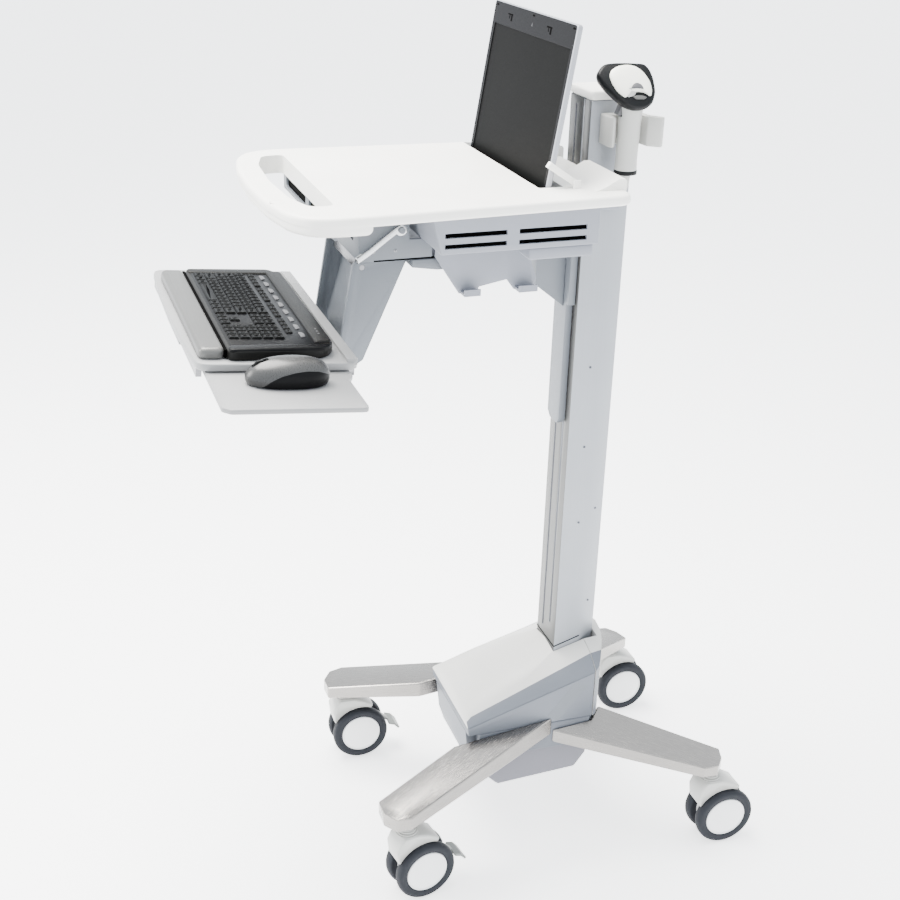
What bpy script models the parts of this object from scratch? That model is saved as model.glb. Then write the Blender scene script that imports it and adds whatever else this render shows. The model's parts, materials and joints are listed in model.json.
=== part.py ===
"""Laptop medication cart: a four-legged caster base, a lift column, a worksurface with a vented laptop
box under it, a hanging keyboard arm with a slide-out mouse tray, and a barcode scanner in its holder.

Metres, +Z up. The design is drawn about the column: X is 0 on its centre, Y is 0 on its front face, the
user stands at -Y, and the floor is at FLOOR. The empty "cart" then moves the middle of the footprint to 0, 0
and the floor to Z = 0.
"""

import math

import bmesh
import bpy
from mathutils import Matrix, Vector

GAP = 0.0004            # clearance between pieces that touch

# Casters and legs
FLOOR = -0.011
WHEEL_RADIUS = 0.053
AXLE = FLOOR + WHEEL_RADIUS
CASTER_HALF = 0.030     # caster centre to a wheel's outer face
WEB_HALF = 0.0085       # caster centre to a wheel's inner face
AXLE_RADIUS = 0.004
TRAIL = 0.026           # swivel axis to wheel axle
FRONT_STEM = (0.2025, -0.317)
REAR_STEM = (0.209, 0.2365)
STEM_TOP = 0.150        # top of a caster's stem, inside the leg

# Base
HUB_HALF = 0.0976
TUB_HALF = 0.088
HUB_LOW, HUB_TOP = 0.150, 0.203
COVER_HALF = 0.098
COVER_SPLIT_Y = 0.0555  # where the top cover meets the rear cover
SHELL = 0.0035
# the top cover's section along Y: depth, half width and height of its side crease, height of its crown
COVER_SECTIONS = (
    (-0.1770, 0.0900, 0.2290, 0.2310),
    (-0.1680, 0.0860, 0.2350, 0.2420),
    (-0.1000, 0.0831, 0.2606, 0.2745),
    (0.0000, 0.0742, 0.2950, 0.3165),
    (0.0555, 0.0710, 0.3160, 0.3320),
    (0.1100, 0.0690, 0.3240, 0.3360),
)

# Column
COLUMN_HALF = 0.0385
COLUMN_SIDE = 0.047     # depth of the flat side face
COLUMN_BACK_HALF = 0.022
COLUMN_DEPTH = 0.080
COLUMN_TOP = 1.262
COLUMN_WALL = 0.004
FRONT_WALL = 0.009
SLOT_X = 0.0145
SLOT_HALF = 0.003
SLOT_LOW = 0.335
CAP_TOP = 1.276
GAS_SPRING_Y = 0.040

# Worksurface and the box under it
DECK_TOP = 1.162
DECK_SHIFT = 0.010      # the deck's centre line, to the right of the column's
DECK_UNDER = 1.1465
HANDLE_UNDER = 1.134
BOX_HALF = 0.192
BOX_LOW = 1.0905
BOX_BACK = -0.045
BOX_FRONT_TOP, BOX_FRONT_LOW = -0.294, -0.280
FRAME_HALF = 0.100
FRAME_LOW = 1.060
FRAME_FRONT = -0.372

# Laptop
LAPTOP_LEFT, LAPTOP_RIGHT = -0.184, 0.136
LID_HINGE = (-0.108, 1.122)
LID_LEAN = math.radians(8.7)
LID_LENGTH = 0.264
LID_THICK = 0.008

# Keyboard arm and trays
ARM_PIVOT = (-0.362, 1.047)
TRAY_PIVOT = (-0.386, 0.917)
ARM_HALF = 0.080
TRAY_TILT = math.radians(5.1)
TRAY_FRONT = (-0.634, 0.977)
TRAY_HALF = 0.222
TRAY_DEPTH = 0.232
TRAY_THICK = 0.011
MOUSE_TRAY_END = 0.353
MOUSE_X, MOUSE_DEPTH = 0.262, 0.121

# Release lever, lid clip and scanner
LEVER_PIVOT = (-0.313, 1.108)
CLIP_PIVOT = (-0.066, 1.1685)
SCANNER_AXIS = (0.0735, 0.046)

FOOTPRINT_X = (-REAR_STEM[0] - CASTER_HALF, MOUSE_TRAY_END)
FOOTPRINT_Y = (TRAY_FRONT[0] - TRAY_THICK * math.sin(TRAY_TILT), REAR_STEM[1] + TRAIL + WHEEL_RADIUS)

FINISHES = {
    "white_shell": ((0.86, 0.87, 0.86), 0.45, 0.0),
    "pale_grey": ((0.70, 0.73, 0.76), 0.45, 0.0),
    "mid_grey": ((0.52, 0.56, 0.60), 0.50, 0.0),
    "polished_aluminium": ((0.78, 0.77, 0.75), 0.22, 1.0),
    "anodised": ((0.66, 0.68, 0.70), 0.38, 0.8),
    "steel": ((0.60, 0.60, 0.60), 0.30, 1.0),
    "tyre": ((0.10, 0.12, 0.14), 0.60, 0.0),
    "black": ((0.02, 0.02, 0.025), 0.45, 0.0),
    "key_grey": ((0.20, 0.20, 0.20), 0.50, 0.0),
    "silver_plastic": ((0.35, 0.36, 0.37), 0.40, 0.2),
    "cream": ((0.84, 0.83, 0.76), 0.40, 0.0),
}

bodies = {}             # name of a moving group -> (its empty, where the empty stands)


# ---------------------------------------------------------------- building blocks

def clear_scene():
    for thing in list(bpy.data.objects):
        bpy.data.objects.remove(thing, do_unlink=True)


def finish(name):
    """The Principled material called name."""
    material = bpy.data.materials.get(name)
    if material is None:
        colour, roughness, metallic = FINISHES[name]
        material = bpy.data.materials.new(name)
        material.use_nodes = True
        shader = material.node_tree.nodes["Principled BSDF"]
        shader.inputs["Base Color"].default_value = (*colour, 1.0)
        shader.inputs["Roughness"].default_value = roughness
        shader.inputs["Metallic"].default_value = metallic
    return material


def body(name, at, parent=None):
    """A moving group: an empty on its joint's axis, under the empty of the group that carries it."""
    empty = bpy.data.objects.new(name + "_axis", None)
    bpy.context.scene.collection.objects.link(empty)
    above, offset = bodies[parent] if parent else (None, Vector())
    empty.parent = above
    empty.location = Vector(at) - offset
    bodies[name] = (empty, Vector(at))


def solid(name, mesh, group, material="white_shell", bevel=0.0, segments=2):
    """An object made of the bmesh, standing under its group's empty."""
    empty, at = bodies[group]
    bmesh.ops.recalc_face_normals(mesh, faces=mesh.faces)
    bmesh.ops.translate(mesh, verts=mesh.verts, vec=-at)
    data = bpy.data.meshes.new(name)
    mesh.to_mesh(data)
    mesh.free()
    data.shade_smooth()
    data.set_sharp_from_angle(angle=math.radians(35))
    data.materials.append(finish(material))
    piece = bpy.data.objects.new(name, data)
    bpy.context.scene.collection.objects.link(piece)
    piece.parent = empty
    if bevel:
        rounding = piece.modifiers.new("edges", "BEVEL")
        rounding.width = bevel
        rounding.segments = segments
        rounding.limit_method = "ANGLE"
        rounding.angle_limit = math.radians(40)
    return piece


def boolean(piece, mesh, group, operation="DIFFERENCE"):
    """Cuts the bmesh from the piece, or joins it on, with a hidden helper object."""
    helper = solid(f"{piece.name}_helper_{len(piece.modifiers)}", mesh, group)
    helper.hide_render = True
    helper.display_type = "WIRE"
    cut = piece.modifiers.new(operation.lower(), "BOOLEAN")
    cut.operation = operation
    cut.object = helper


def prism(outline, low, high, axis="z"):
    """The outline swept from low to high. Its points are (x, y), or (x, z) on axis y and (y, z) on axis x."""
    place = {
        "x": lambda a, b, t: (t, a, b),
        "y": lambda a, b, t: (a, t, b),
        "z": lambda a, b, t: (a, b, t),
    }[axis]
    mesh = bmesh.new()
    face = mesh.faces.new([mesh.verts.new(place(a, b, low)) for a, b in outline])
    swept = bmesh.ops.extrude_face_region(mesh, geom=[face])
    moved = [v for v in swept["geom"] if isinstance(v, bmesh.types.BMVert)]
    bmesh.ops.translate(mesh, verts=moved, vec=place(0, 0, high - low))
    return mesh


def box(x, y, z):
    return prism([(x[0], y[0]), (x[1], y[0]), (x[1], y[1]), (x[0], y[1])], z[0], z[1])


def filleted(corners, radius, steps=3):
    """The closed outline with each corner turned into an arc of about the radius."""
    points = []
    for index, corner in enumerate(corners):
        corner = Vector(corner)
        before = Vector(corners[index - 1]) - corner
        after = Vector(corners[(index + 1) % len(corners)]) - corner
        half = before.angle(after) / 2
        reach = min(radius / math.tan(half), before.length * 0.45, after.length * 0.45)
        start = corner + before.normalized() * reach
        end = corner + after.normalized() * reach
        for step in range(steps + 1):
            t = step / steps
            points.append((1 - t) ** 2 * start + 2 * t * (1 - t) * corner + t ** 2 * end)
    return points


def turned(profile, axis, centre, steps=24):
    """A solid of revolution. The profile's points are (radius, distance along the axis), ends at radius 0
    or a closed loop round a bore."""
    mesh = bmesh.new()
    rings = []
    for radius, along in profile:
        if radius == 0:
            rings.append([mesh.verts.new((0, 0, along))])
            continue
        angles = [2 * math.pi * i / steps for i in range(steps)]
        rings.append([mesh.verts.new((radius * math.cos(a), radius * math.sin(a), along)) for a in angles])
    closed_loop = profile[0][0] > 0
    pairs = list(zip(rings, rings[1:]))
    if closed_loop:
        pairs.append((rings[-1], rings[0]))
    for one, two in pairs:
        if len(one) == len(two) == 1:
            continue
        for i in range(steps):
            j = (i + 1) % steps
            corners = [one[i % len(one)], one[j % len(one)], two[j % len(two)], two[i % len(two)]]
            mesh.faces.new(list(dict.fromkeys(corners)))
    turn = Vector((0, 0, 1)).rotation_difference(Vector(axis)).to_matrix().to_4x4()
    bmesh.ops.transform(mesh, matrix=Matrix.Translation(centre) @ turn, verts=mesh.verts)
    return mesh


def rod(start, end, radius, steps=16):
    """A plain round bar from start to end."""
    along = Vector(end) - Vector(start)
    profile = [(0, 0), (radius, 0), (radius, along.length), (0, along.length)]
    return turned(profile, along.normalized(), start, steps)


def lofted(rings):
    """A closed solid through rings with the same number of points each."""
    mesh = bmesh.new()
    rows = [[mesh.verts.new(point) for point in ring] for ring in rings]
    mesh.faces.new(rows[0])
    mesh.faces.new(rows[-1])
    for one, two in zip(rows, rows[1:]):
        for i in range(len(one)):
            j = (i + 1) % len(one)
            mesh.faces.new([one[i], one[j], two[j], two[i]])
    return mesh


def arc(centre, radius, start, end, steps):
    """Points on an arc from start to end, in degrees."""
    angles = [math.radians(start + (end - start) * i / steps) for i in range(steps + 1)]
    return [(centre[0] + radius * math.cos(a), centre[1] + radius * math.sin(a)) for a in angles]


def mirrored(outline):
    return [(-x, y) for x, y in reversed(outline)]


# ---------------------------------------------------------------- base

# each leg's outline seen from above, with the heights of its underside and top at every corner
LEGS = {
    "front": [(0.0982, -0.200, 0.160, 0.190), (0.170, -0.357, 0.138, 0.161), (0.202, -0.357, 0.136, 0.160),
              (0.226, -0.340, 0.136, 0.161), (0.229, -0.316, 0.138, 0.164), (0.0982, -0.0205, 0.178, 0.214)],
    "rear": [(0.0982, -0.0195, 0.162, 0.189), (0.2345, 0.210, 0.136, 0.159), (0.2345, 0.236, 0.1345, 0.157),
             (0.213, 0.254, 0.1345, 0.156), (0.188, 0.262, 0.1345, 0.1555), (0.0666, 0.0802, 0.165, 0.199),
             (0.0986, 0.0512, 0.170, 0.196)],
}


def make_leg(name, corners, side):
    under = [(side * x, y, low) for x, y, low, top in corners]
    crest = [(side * x, y, top) for x, y, low, top in corners]
    mesh = lofted([under, crest])
    bmesh.ops.triangulate(mesh, faces=[f for f in mesh.faces if len(f.verts) > 4])
    return solid(name, mesh, "base", "polished_aluminium", bevel=0.003)


def make_base():
    hub = [(-HUB_HALF, -0.155), (HUB_HALF, -0.155), (HUB_HALF, 0.050), (0.066, 0.079),
           (-0.066, 0.079), (-HUB_HALF, 0.050)]
    solid("hub_casting", prism(hub, HUB_LOW, HUB_TOP), "base", "mid_grey", bevel=0.002)

    tub = [(-0.150, 0.118), (-0.113, 0.081), (0.034, 0.090), (0.054, 0.118), (0.056, HUB_LOW - GAP),
           (-0.145, HUB_LOW - GAP)]
    tub_shell = solid("under_tub", prism(filleted(tub, 0.008), -TUB_HALF, TUB_HALF, "x"), "base",
                      "mid_grey", bevel=0.005)
    hollow = [(-0.138, 0.122), (-0.110, 0.086), (0.030, 0.095), (0.046, 0.120), (0.048, 0.160),
              (-0.136, 0.160)]
    boolean(tub_shell, prism(hollow, -0.082, 0.082, "x"), "base")
    weight = [(-0.120, 0.104), (-0.108, 0.0865), (0.028, 0.0955), (0.038, 0.112), (0.038, 0.140),
              (-0.120, 0.140)]
    solid("ballast_weight", prism(weight, -0.075, 0.075, "x"), "base", "steel", bevel=0.002)

    for end, (x, y) in (("front", FRONT_STEM), ("rear", REAR_STEM)):
        for label, side in (("right", 1), ("left", -1)):
            leg = make_leg(f"leg_{end}_{label}", LEGS[end], side)
            socket = rod((side * x, y, 0.12), (side * x, y, STEM_TOP + 0.0010), 0.0068)
            boolean(leg, socket, "base")


def groove(y, lift=0.0):
    """Height of the groove that parts the top cover from the skirt."""
    return 0.2203 + (y + 0.177) * 0.3225 + lift


def cover_form(inset, drop, reach):
    """The covers' outer form, or with an inset the hollow under it. reach moves its two ends along Y."""
    rings = []
    for y, half, crease, crown in COVER_SECTIONS:
        if y == COVER_SECTIONS[0][0]:
            y -= reach
        side = COVER_HALF - inset
        foot = groove(y) - drop
        edge = groove(y) - inset
        shoulder = crease - inset
        ridge = crown - inset
        half -= inset / 2
        mid = shoulder + 0.75 * (ridge - shoulder)
        profile = [(side, foot), (side, edge), (half, shoulder), (half / 2, mid), (0, ridge)]
        profile += [(-x, z) for x, z in reversed(profile[:-1])]
        rings.append([(x, y, z) for x, z in profile])
    return lofted(rings)


def make_covers():
    back = COVER_SPLIT_Y
    inner = COVER_HALF - SHELL
    hole = (-COLUMN_HALF - 0.001, COLUMN_HALF + 0.001)

    top = solid("base_top_cover", cover_form(0.0, 0.0002, 0.0), "base")
    boolean(top, cover_form(SHELL, 0.02, -SHELL), "base")
    boolean(top, box((-0.2, 0.2), (back, 0.3), (0.1, 0.5)), "base")
    boolean(top, box(hole, (-0.001, 0.12), (0.2, 0.4)), "base")

    skirt = [(-0.1755, HUB_TOP + GAP), (-0.1765, groove(-0.1765, -0.0015)), (back, groove(back, -0.0015)),
             (back, HUB_TOP + GAP)]
    ring = solid("base_skirt", prism(skirt, -COVER_HALF, COVER_HALF, "x"), "base", "pale_grey", bevel=0.002)
    boolean(ring, box((-inner, inner), (-0.172, 0.1), (0.19, 0.4)), "base")
    apron = [(-0.1555, 0.119), (-0.1555, 0.1950), (-0.1730, 0.2070), (-0.1752, 0.2070), (-0.169, 0.150),
             (-0.159, 0.119)]
    boolean(ring, prism(apron, -0.080, 0.080, "x"), "base", "UNION")

    half_plan = [(COVER_HALF, back + 0.001), (0.0925, 0.0640), (0.0750, 0.0745), (0.0500, 0.0862),
                 (0.0250, 0.0935)]
    plan = half_plan + [(0, 0.096)] + mirrored(half_plan)
    rear = solid("base_rear_cover", prism(plan, HUB_TOP + GAP, 0.40), "base")
    boolean(rear, cover_form(0.0, 0.2, 0.0), "base", "INTERSECT")
    inside = [(x * 0.96, y - SHELL) for x, y in plan[1:-1]]
    inside = [(inner, 0.04)] + inside + [(-inner, 0.04)]
    boolean(rear, prism(inside, 0.19, groove(back) - SHELL), "base")
    boolean(rear, box(hole, (0.04, COLUMN_DEPTH + 0.001), (0.19, 0.5)), "base")


# ---------------------------------------------------------------- casters

def make_caster(corner, stem, turn, has_brake):
    """A swivelling twin-wheel caster. turn is how far it has swung about its stem, in degrees."""
    x, y = stem
    swing = Matrix.Translation((x, y, 0)) @ Matrix.Rotation(math.radians(turn), 4, "Z")
    name = f"caster_{corner}"
    body(name, (x, y, 0.125), "base")
    axle_at = swing @ Vector((0, TRAIL, AXLE))

    def placed(mesh):
        bmesh.ops.transform(mesh, matrix=swing, verts=mesh.verts)
        return mesh

    hood = [(-0.024, 0.070), (-0.027, 0.096), (-0.021, 0.110), (-0.012, 0.118), (0.014, 0.118),
            (0.034, 0.111), (0.052, 0.100), (0.044, 0.082), (0.040, 0.042), (0.033, 0.031), (0.020, 0.030),
            (0.010, 0.040)]
    fork = solid(f"{name}_body", placed(prism(hood, -0.021, 0.021, "x")), name, "cream", bevel=0.003)
    for side in (-1, 1):
        near, far = side * (WEB_HALF - 0.0015), side * 0.04
        room = rod((near, TRAIL, AXLE), (far, TRAIL, AXLE), WHEEL_RADIUS + 0.003, 32)
        boolean(fork, placed(room), name)
    hole = rod((-0.02, TRAIL, AXLE), (0.02, TRAIL, AXLE), AXLE_RADIUS + 0.0003)
    boolean(fork, placed(hole), name)
    stem_profile = [(0, 0.110), (0.0125, 0.110), (0.0125, 0.1300), (0.0060, 0.1315), (0.0060, STEM_TOP),
                    (0, STEM_TOP)]
    boolean(fork, placed(turned(stem_profile, (0, 0, 1), (0, 0, 0), 20)), name, "UNION")
    if has_brake:
        boolean(fork, placed(box((-0.0065, 0.0065), (0.028, 0.060), (0.060, 0.090))), name)

    pin_half = CASTER_HALF - 0.007
    pin = rod((-pin_half, TRAIL, AXLE), (pin_half, TRAIL, AXLE), AXLE_RADIUS)
    solid(f"{name}_axle", placed(pin), name, "steel")

    # radius and distance from the caster's centre plane, from the bore's mouth round to the bore's end
    section = [(0.0045, 0.0085), (0.0360, 0.0085), (0.0480, 0.0095), (0.0515, 0.0120), (WHEEL_RADIUS, 0.0155),
               (WHEEL_RADIUS, 0.0230), (0.0510, 0.0270), (0.0457, 0.0285), (0.0410, 0.0280), (0.0393, 0.0262),
               (0.0318, 0.0282), (0.0160, 0.0297), (0, CASTER_HALF), (0, 0.0240), (0.0045, 0.0240)]
    for label, side in (("inner", -1), ("outer", 1)):
        facing = side if x > 0 else -side
        wheel = f"{name}_wheel_{label}"
        body(wheel, axle_at, name)
        tyre = turned(section, (facing, 0, 0), (0, TRAIL, AXLE), 24)
        solid(wheel, placed(tyre), wheel, "tyre")

    if has_brake:
        pedal = f"brake_pedal_{corner}"
        body(pedal, swing @ Vector((0, 0.040, 0.075)), name)
        outline = [(0.036, 0.071), (0.036, 0.079), (0.044, 0.080), (0.068, 0.066), (0.086, 0.0500),
                   (0.086, 0.0450), (0.066, 0.0600), (0.046, 0.0715)]
        lever = solid(pedal, placed(prism(outline, -0.006, 0.006, "x")), pedal, "mid_grey", bevel=0.001)
        tab = [(0.0840, 0.0500), (0.0970, 0.0455), (0.1060, 0.0350), (0.1035, 0.0325), (0.0950, 0.0415),
               (0.0840, 0.0455)]
        boolean(lever, placed(prism(tab, -0.017, 0.017, "x")), pedal, "UNION")


# ---------------------------------------------------------------- column

def column_outline(grow=0.0, front=0.0):
    """The column's section, moved out by grow on every side and at the front by front."""
    half, back_half = COLUMN_HALF + grow, COLUMN_BACK_HALF + grow * 0.6
    side, back = COLUMN_SIDE, COLUMN_DEPTH + grow
    return [(-half, -front), (half, -front), (half, side), (back_half, back), (-back_half, back),
            (-half, side)]


def make_column():
    mast = solid("column_extrusion", prism(column_outline(), HUB_TOP + GAP, COLUMN_TOP), "base", "anodised",
                 bevel=0.0015)
    bore = column_outline(-COLUMN_WALL, -FRONT_WALL)
    boolean(mast, prism(bore, 0.19, COLUMN_TOP + 0.01), "base")
    through = box((-SLOT_X - SLOT_HALF, -SLOT_X + SLOT_HALF), (-0.01, FRONT_WALL + 0.003), (SLOT_LOW, 1.250))
    boolean(mast, through, "base")
    groove_cut = box((SLOT_X - SLOT_HALF, SLOT_X + SLOT_HALF), (-0.01, 0.0055),
                     (SLOT_LOW + 0.02, COLUMN_TOP + 0.01))
    boolean(mast, groove_cut, "base")

    cap = filleted(column_outline(0.0015, 0.0015), 0.006)
    solid("column_cap", prism(cap, COLUMN_TOP + GAP, CAP_TOP), "base", bevel=0.003)

    cup = [(0, 0.2055), (0.0110, 0.2055), (0.0110, 0.674), (0.0085, 0.674), (0.0085, 0.2120), (0, 0.2120)]
    solid("gas_spring_cylinder", turned(cup, (0, 0, 1), (0, GAS_SPRING_Y, 0), 20), "base", "black")


# ---------------------------------------------------------------- lift carriage and worksurface

def make_carriage():
    body("lift", (0, -0.007, 0.95), "base")
    face = -0.0008
    plate = [(-0.0245, 0.748), (-0.014, 0.738), (0.014, 0.738), (0.0225, 0.748), (0.0225, 0.945),
             (0.031, 0.945), (0.031, 1.090), (-0.031, 1.090), (-0.031, 0.945), (-0.0245, 0.945)]
    solid("carriage_plate", prism(plate, -0.0125, face, "y"), "lift", "mid_grey", bevel=0.001)
    gusset = [(-0.0129, 0.938), (-0.0129, 1.0715), (-0.062, 1.0715), (-0.062, 0.977)]
    solid("carriage_gusset", prism(gusset, -0.0125, 0.0125, "x"), "lift", "mid_grey", bevel=0.001)
    guide = box((SLOT_X - 0.0025, SLOT_X + 0.0025), (face + 0.0003, 0.0050), (0.952, 1.080))
    solid("carriage_guide", guide, "lift", "black", bevel=0.0008)
    arm = [(-0.0005, 1.068), (0.046, 1.068), (0.046, 1.084), (-0.0005, 1.084)]
    link = solid("gas_spring_rod", prism(arm, -SLOT_X - 0.0020, -SLOT_X + 0.0020, "x"), "lift", "steel")
    boolean(link, box((-SLOT_X, 0.006), (0.034, 0.046), (1.068, 1.084)), "lift", "UNION")
    plunger = [(0, 0.604), (0.0080, 0.604), (0.0080, 0.614), (0.0040, 0.616), (0.0040, 1.076), (0, 1.076)]
    boolean(link, turned(plunger, (0, 0, 1), (0, GAS_SPRING_Y, 0), 16), "lift", "UNION")

    reach = COLUMN_HALF + 0.007
    wrap = [(-reach, -0.0125), (reach, -0.0125), (reach, 0.056), (-reach, 0.056)]
    collar = solid("carriage_collar", prism(wrap, 1.098, DECK_UNDER - GAP), "lift", "pale_grey", bevel=0.002)
    inside = column_outline(0.0008, 0.0008)
    boolean(collar, prism(inside, 1.08, 1.2), "lift")


def make_worksurface():
    # right half from the rear to the middle of the front arc, about the deck's own centre line
    right = [(0.196, 0.0), (0.2075, -0.200), (0.2190, -0.385), (0.2200, -0.440), (0.2080, -0.4750),
             (0.175, -0.4960), (0.100, -0.5090), (0.0, -0.5135)]
    outline = [(x + DECK_SHIFT, y) for x, y in right + mirrored(right)[1:]]
    deck = solid("worksurface", prism(filleted(outline, 0.016, 2), DECK_UNDER, DECK_TOP), "lift", bevel=0.004)
    rim = right[2:] + mirrored(right[2:])[1:]
    rim = [(x * 0.997 + DECK_SHIFT, y + 0.001) for x, y in rim]
    boolean(deck, prism(filleted(rim, 0.014, 2), HANDLE_UNDER, DECK_UNDER + 0.004), "lift", "UNION")
    opening = [(-0.160, -0.457), (-0.105, -0.473), (0.0, -0.4785), (0.105, -0.473), (0.160, -0.457),
               (0.163, -0.423), (-0.163, -0.423)]
    boolean(deck, prism(filleted(opening, 0.010, 2), 1.10, 1.20), "lift")
    boolean(deck, box((-0.190, 0.1375), (-0.118, -0.080), (1.10, 1.20)), "lift")
    rise = [(-0.050, DECK_TOP - 0.003), (0.0, DECK_TOP - 0.003), (0.0, DECK_TOP + 0.016),
            (-0.012, DECK_TOP + 0.016), (-0.034, DECK_TOP + 0.004)]
    for low, high in ((-0.175, -0.052), (0.052, 0.175)):
        boolean(deck, prism(rise, low, high, "x"), "lift", "UNION")
    ear = box((0.1503, 0.1535), (-0.0715, -0.0605), (DECK_TOP - 0.002, 1.1740))
    boolean(deck, ear, "lift", "UNION")
    boolean(deck, rod((0.1395, *CLIP_PIVOT), (0.1520, *CLIP_PIVOT), 0.0018), "lift", "UNION")


def make_box():
    front = [(BOX_BACK, BOX_LOW), (BOX_BACK, DECK_UNDER - GAP), (BOX_FRONT_TOP, DECK_UNDER - GAP),
             (BOX_FRONT_LOW, BOX_LOW)]
    shell = solid("laptop_box", prism(front, -BOX_HALF, BOX_HALF, "x"), "lift", "pale_grey", bevel=0.002)
    hollow = [(BOX_BACK - 0.004, BOX_LOW + 0.003), (BOX_BACK - 0.004, 1.2), (BOX_FRONT_TOP + 0.003, 1.2),
              (BOX_FRONT_TOP + 0.003, DECK_UNDER), (BOX_FRONT_LOW + 0.005, BOX_LOW + 0.003)]
    boolean(shell, prism(hollow, -BOX_HALF + 0.004, BOX_HALF - 0.004, "x"), "lift")
    for low, high in ((1.1135, 1.1205), (1.0985, 1.1050)):
        for near, far in ((-0.275, -0.184), (-0.166, -0.064)):
            boolean(shell, box((-0.3, 0.3), (near, far), (low, high)), "lift")

    lower = box((-0.150, 0.186), (-0.147, -0.050), (1.0720, BOX_LOW - GAP))
    solid("box_lower_housing", lower, "lift", "pale_grey", bevel=0.003)

    tall, low_part = DECK_UNDER - GAP, BOX_LOW - GAP
    side = [(FRAME_FRONT, FRAME_LOW), (-0.262, FRAME_LOW), (-0.262, low_part), (-0.2970, low_part),
            (-0.2970, tall), (FRAME_FRONT, tall)]
    frame = solid("deck_frame", prism(side, -FRAME_HALF, FRAME_HALF, "x"), "lift", "mid_grey", bevel=0.0015)
    boolean(frame, box((-0.096, 0.096), (FRAME_FRONT + 0.004, -0.2), (FRAME_LOW + 0.004, 1.2)), "lift")
    boolean(frame, box((-0.070, 0.070), (FRAME_FRONT - 0.01, FRAME_FRONT + 0.01), (1.085, 1.135)), "lift")
    lever_pin = rod((FRAME_HALF - 0.002, *LEVER_PIVOT), (0.1175, *LEVER_PIVOT), 0.0045)
    boolean(frame, lever_pin, "lift", "UNION")

    plate = [(-0.291, 1.046), (-0.291, FRAME_LOW - 0.0025), (-0.236, FRAME_LOW - 0.0025), (-0.236, 1.040),
             (-0.252, 1.040)]
    solid("arm_stop_plate", prism(plate, -0.095, 0.095, "x"), "lift", "mid_grey", bevel=0.001)

    hook = [(-0.259, BOX_LOW - GAP), (-0.259, 1.062), (-0.221, 1.004), (-0.192, 1.004), (-0.190, 1.012),
            (-0.147, 1.020), (-0.135, 1.004), (-0.103, 1.004), (-0.100, 1.019), (-0.118, 1.0715),
            (-0.148, 1.0715), (-0.148, BOX_LOW - GAP)]
    hanger = solid("cable_hanger", prism(hook, 0.1005, 0.1035, "x"), "lift", bevel=0.0005)
    for near, far in ((-0.219, -0.194), (-0.134, -0.105)):
        lip = [(0.102, 1.0045), (0.123, 1.0045), (0.123, 1.0145), (0.1205, 1.0145), (0.1190, 1.0085),
               (0.102, 1.0085)]
        boolean(hanger, prism(lip, near, far, "y"), "lift", "UNION")


def make_lever_and_clip():
    y, z = LEVER_PIVOT
    body("release_lever", (0.112, y, z), "lift")
    spine = [(-0.379, 1.0665), (-0.360, 1.0785), (-0.338, 1.0950), (-0.322, 1.1065), (y, z + 0.004)]
    upper = [(a, b + 0.004) for a, b in spine]
    lower = [(a + 0.002, b - 0.004) for a, b in reversed(spine)]
    blade = solid("release_lever", prism(upper + arc((y, z), 0.009, 60, -120, 6) + lower[1:], 0.105, 0.113,
                                         "x"),
                  "release_lever", "polished_aluminium", bevel=0.0012)
    boolean(blade, rod((0.09, y, z), (0.13, y, z), 0.0049), "release_lever")

    y, z = CLIP_PIVOT
    body("lid_clip", (0.145, y, z), "lift")
    bar = [(-0.1115, 1.1933), (-0.1065, 1.2008)] + arc(CLIP_PIVOT, 0.0045, 56.5, -123.5, 8)
    clip = solid("lid_clip", prism(bar, 0.1405, 0.1495, "x"), "lid_clip", bevel=0.0008)
    boolean(clip, rod((0.13, y, z), (0.16, y, z), 0.0022), "lid_clip")


def make_laptop():
    low, high = BOX_LOW + 0.0035, LID_HINGE[1] - 0.006
    base = filleted([(LAPTOP_LEFT, -0.272), (LAPTOP_RIGHT, -0.272), (LAPTOP_RIGHT, -0.054),
                     (LAPTOP_LEFT, -0.054)], 0.008)
    solid("laptop_base", prism(base, low, high), "lift", "silver_plastic", bevel=0.002)
    y, z = LID_HINGE
    body("laptop_lid", (0, y, z), "lift")
    outline = filleted([(LAPTOP_LEFT, -0.004), (LAPTOP_RIGHT, -0.004), (LAPTOP_RIGHT, LID_LENGTH),
                        (LAPTOP_LEFT, LID_LENGTH)], 0.006)
    mesh = prism(outline, -LID_THICK / 2, LID_THICK / 2)
    stand = Matrix.Translation((0, y, z)) @ Matrix.Rotation(math.pi / 2 - LID_LEAN, 4, "X")
    bmesh.ops.transform(mesh, matrix=stand, verts=mesh.verts)
    solid("laptop_lid", mesh, "laptop_lid", "silver_plastic", bevel=0.0012)


# ---------------------------------------------------------------- keyboard arm and trays

def on_tray(mesh):
    """Lays a mesh drawn in x, depth from the tray's front edge, and height over its top onto the tray."""
    frame = Matrix.Translation((0, *TRAY_FRONT)) @ Matrix.Rotation(-TRAY_TILT, 4, "X")
    bmesh.ops.transform(mesh, matrix=frame, verts=mesh.verts)
    return mesh


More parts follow.
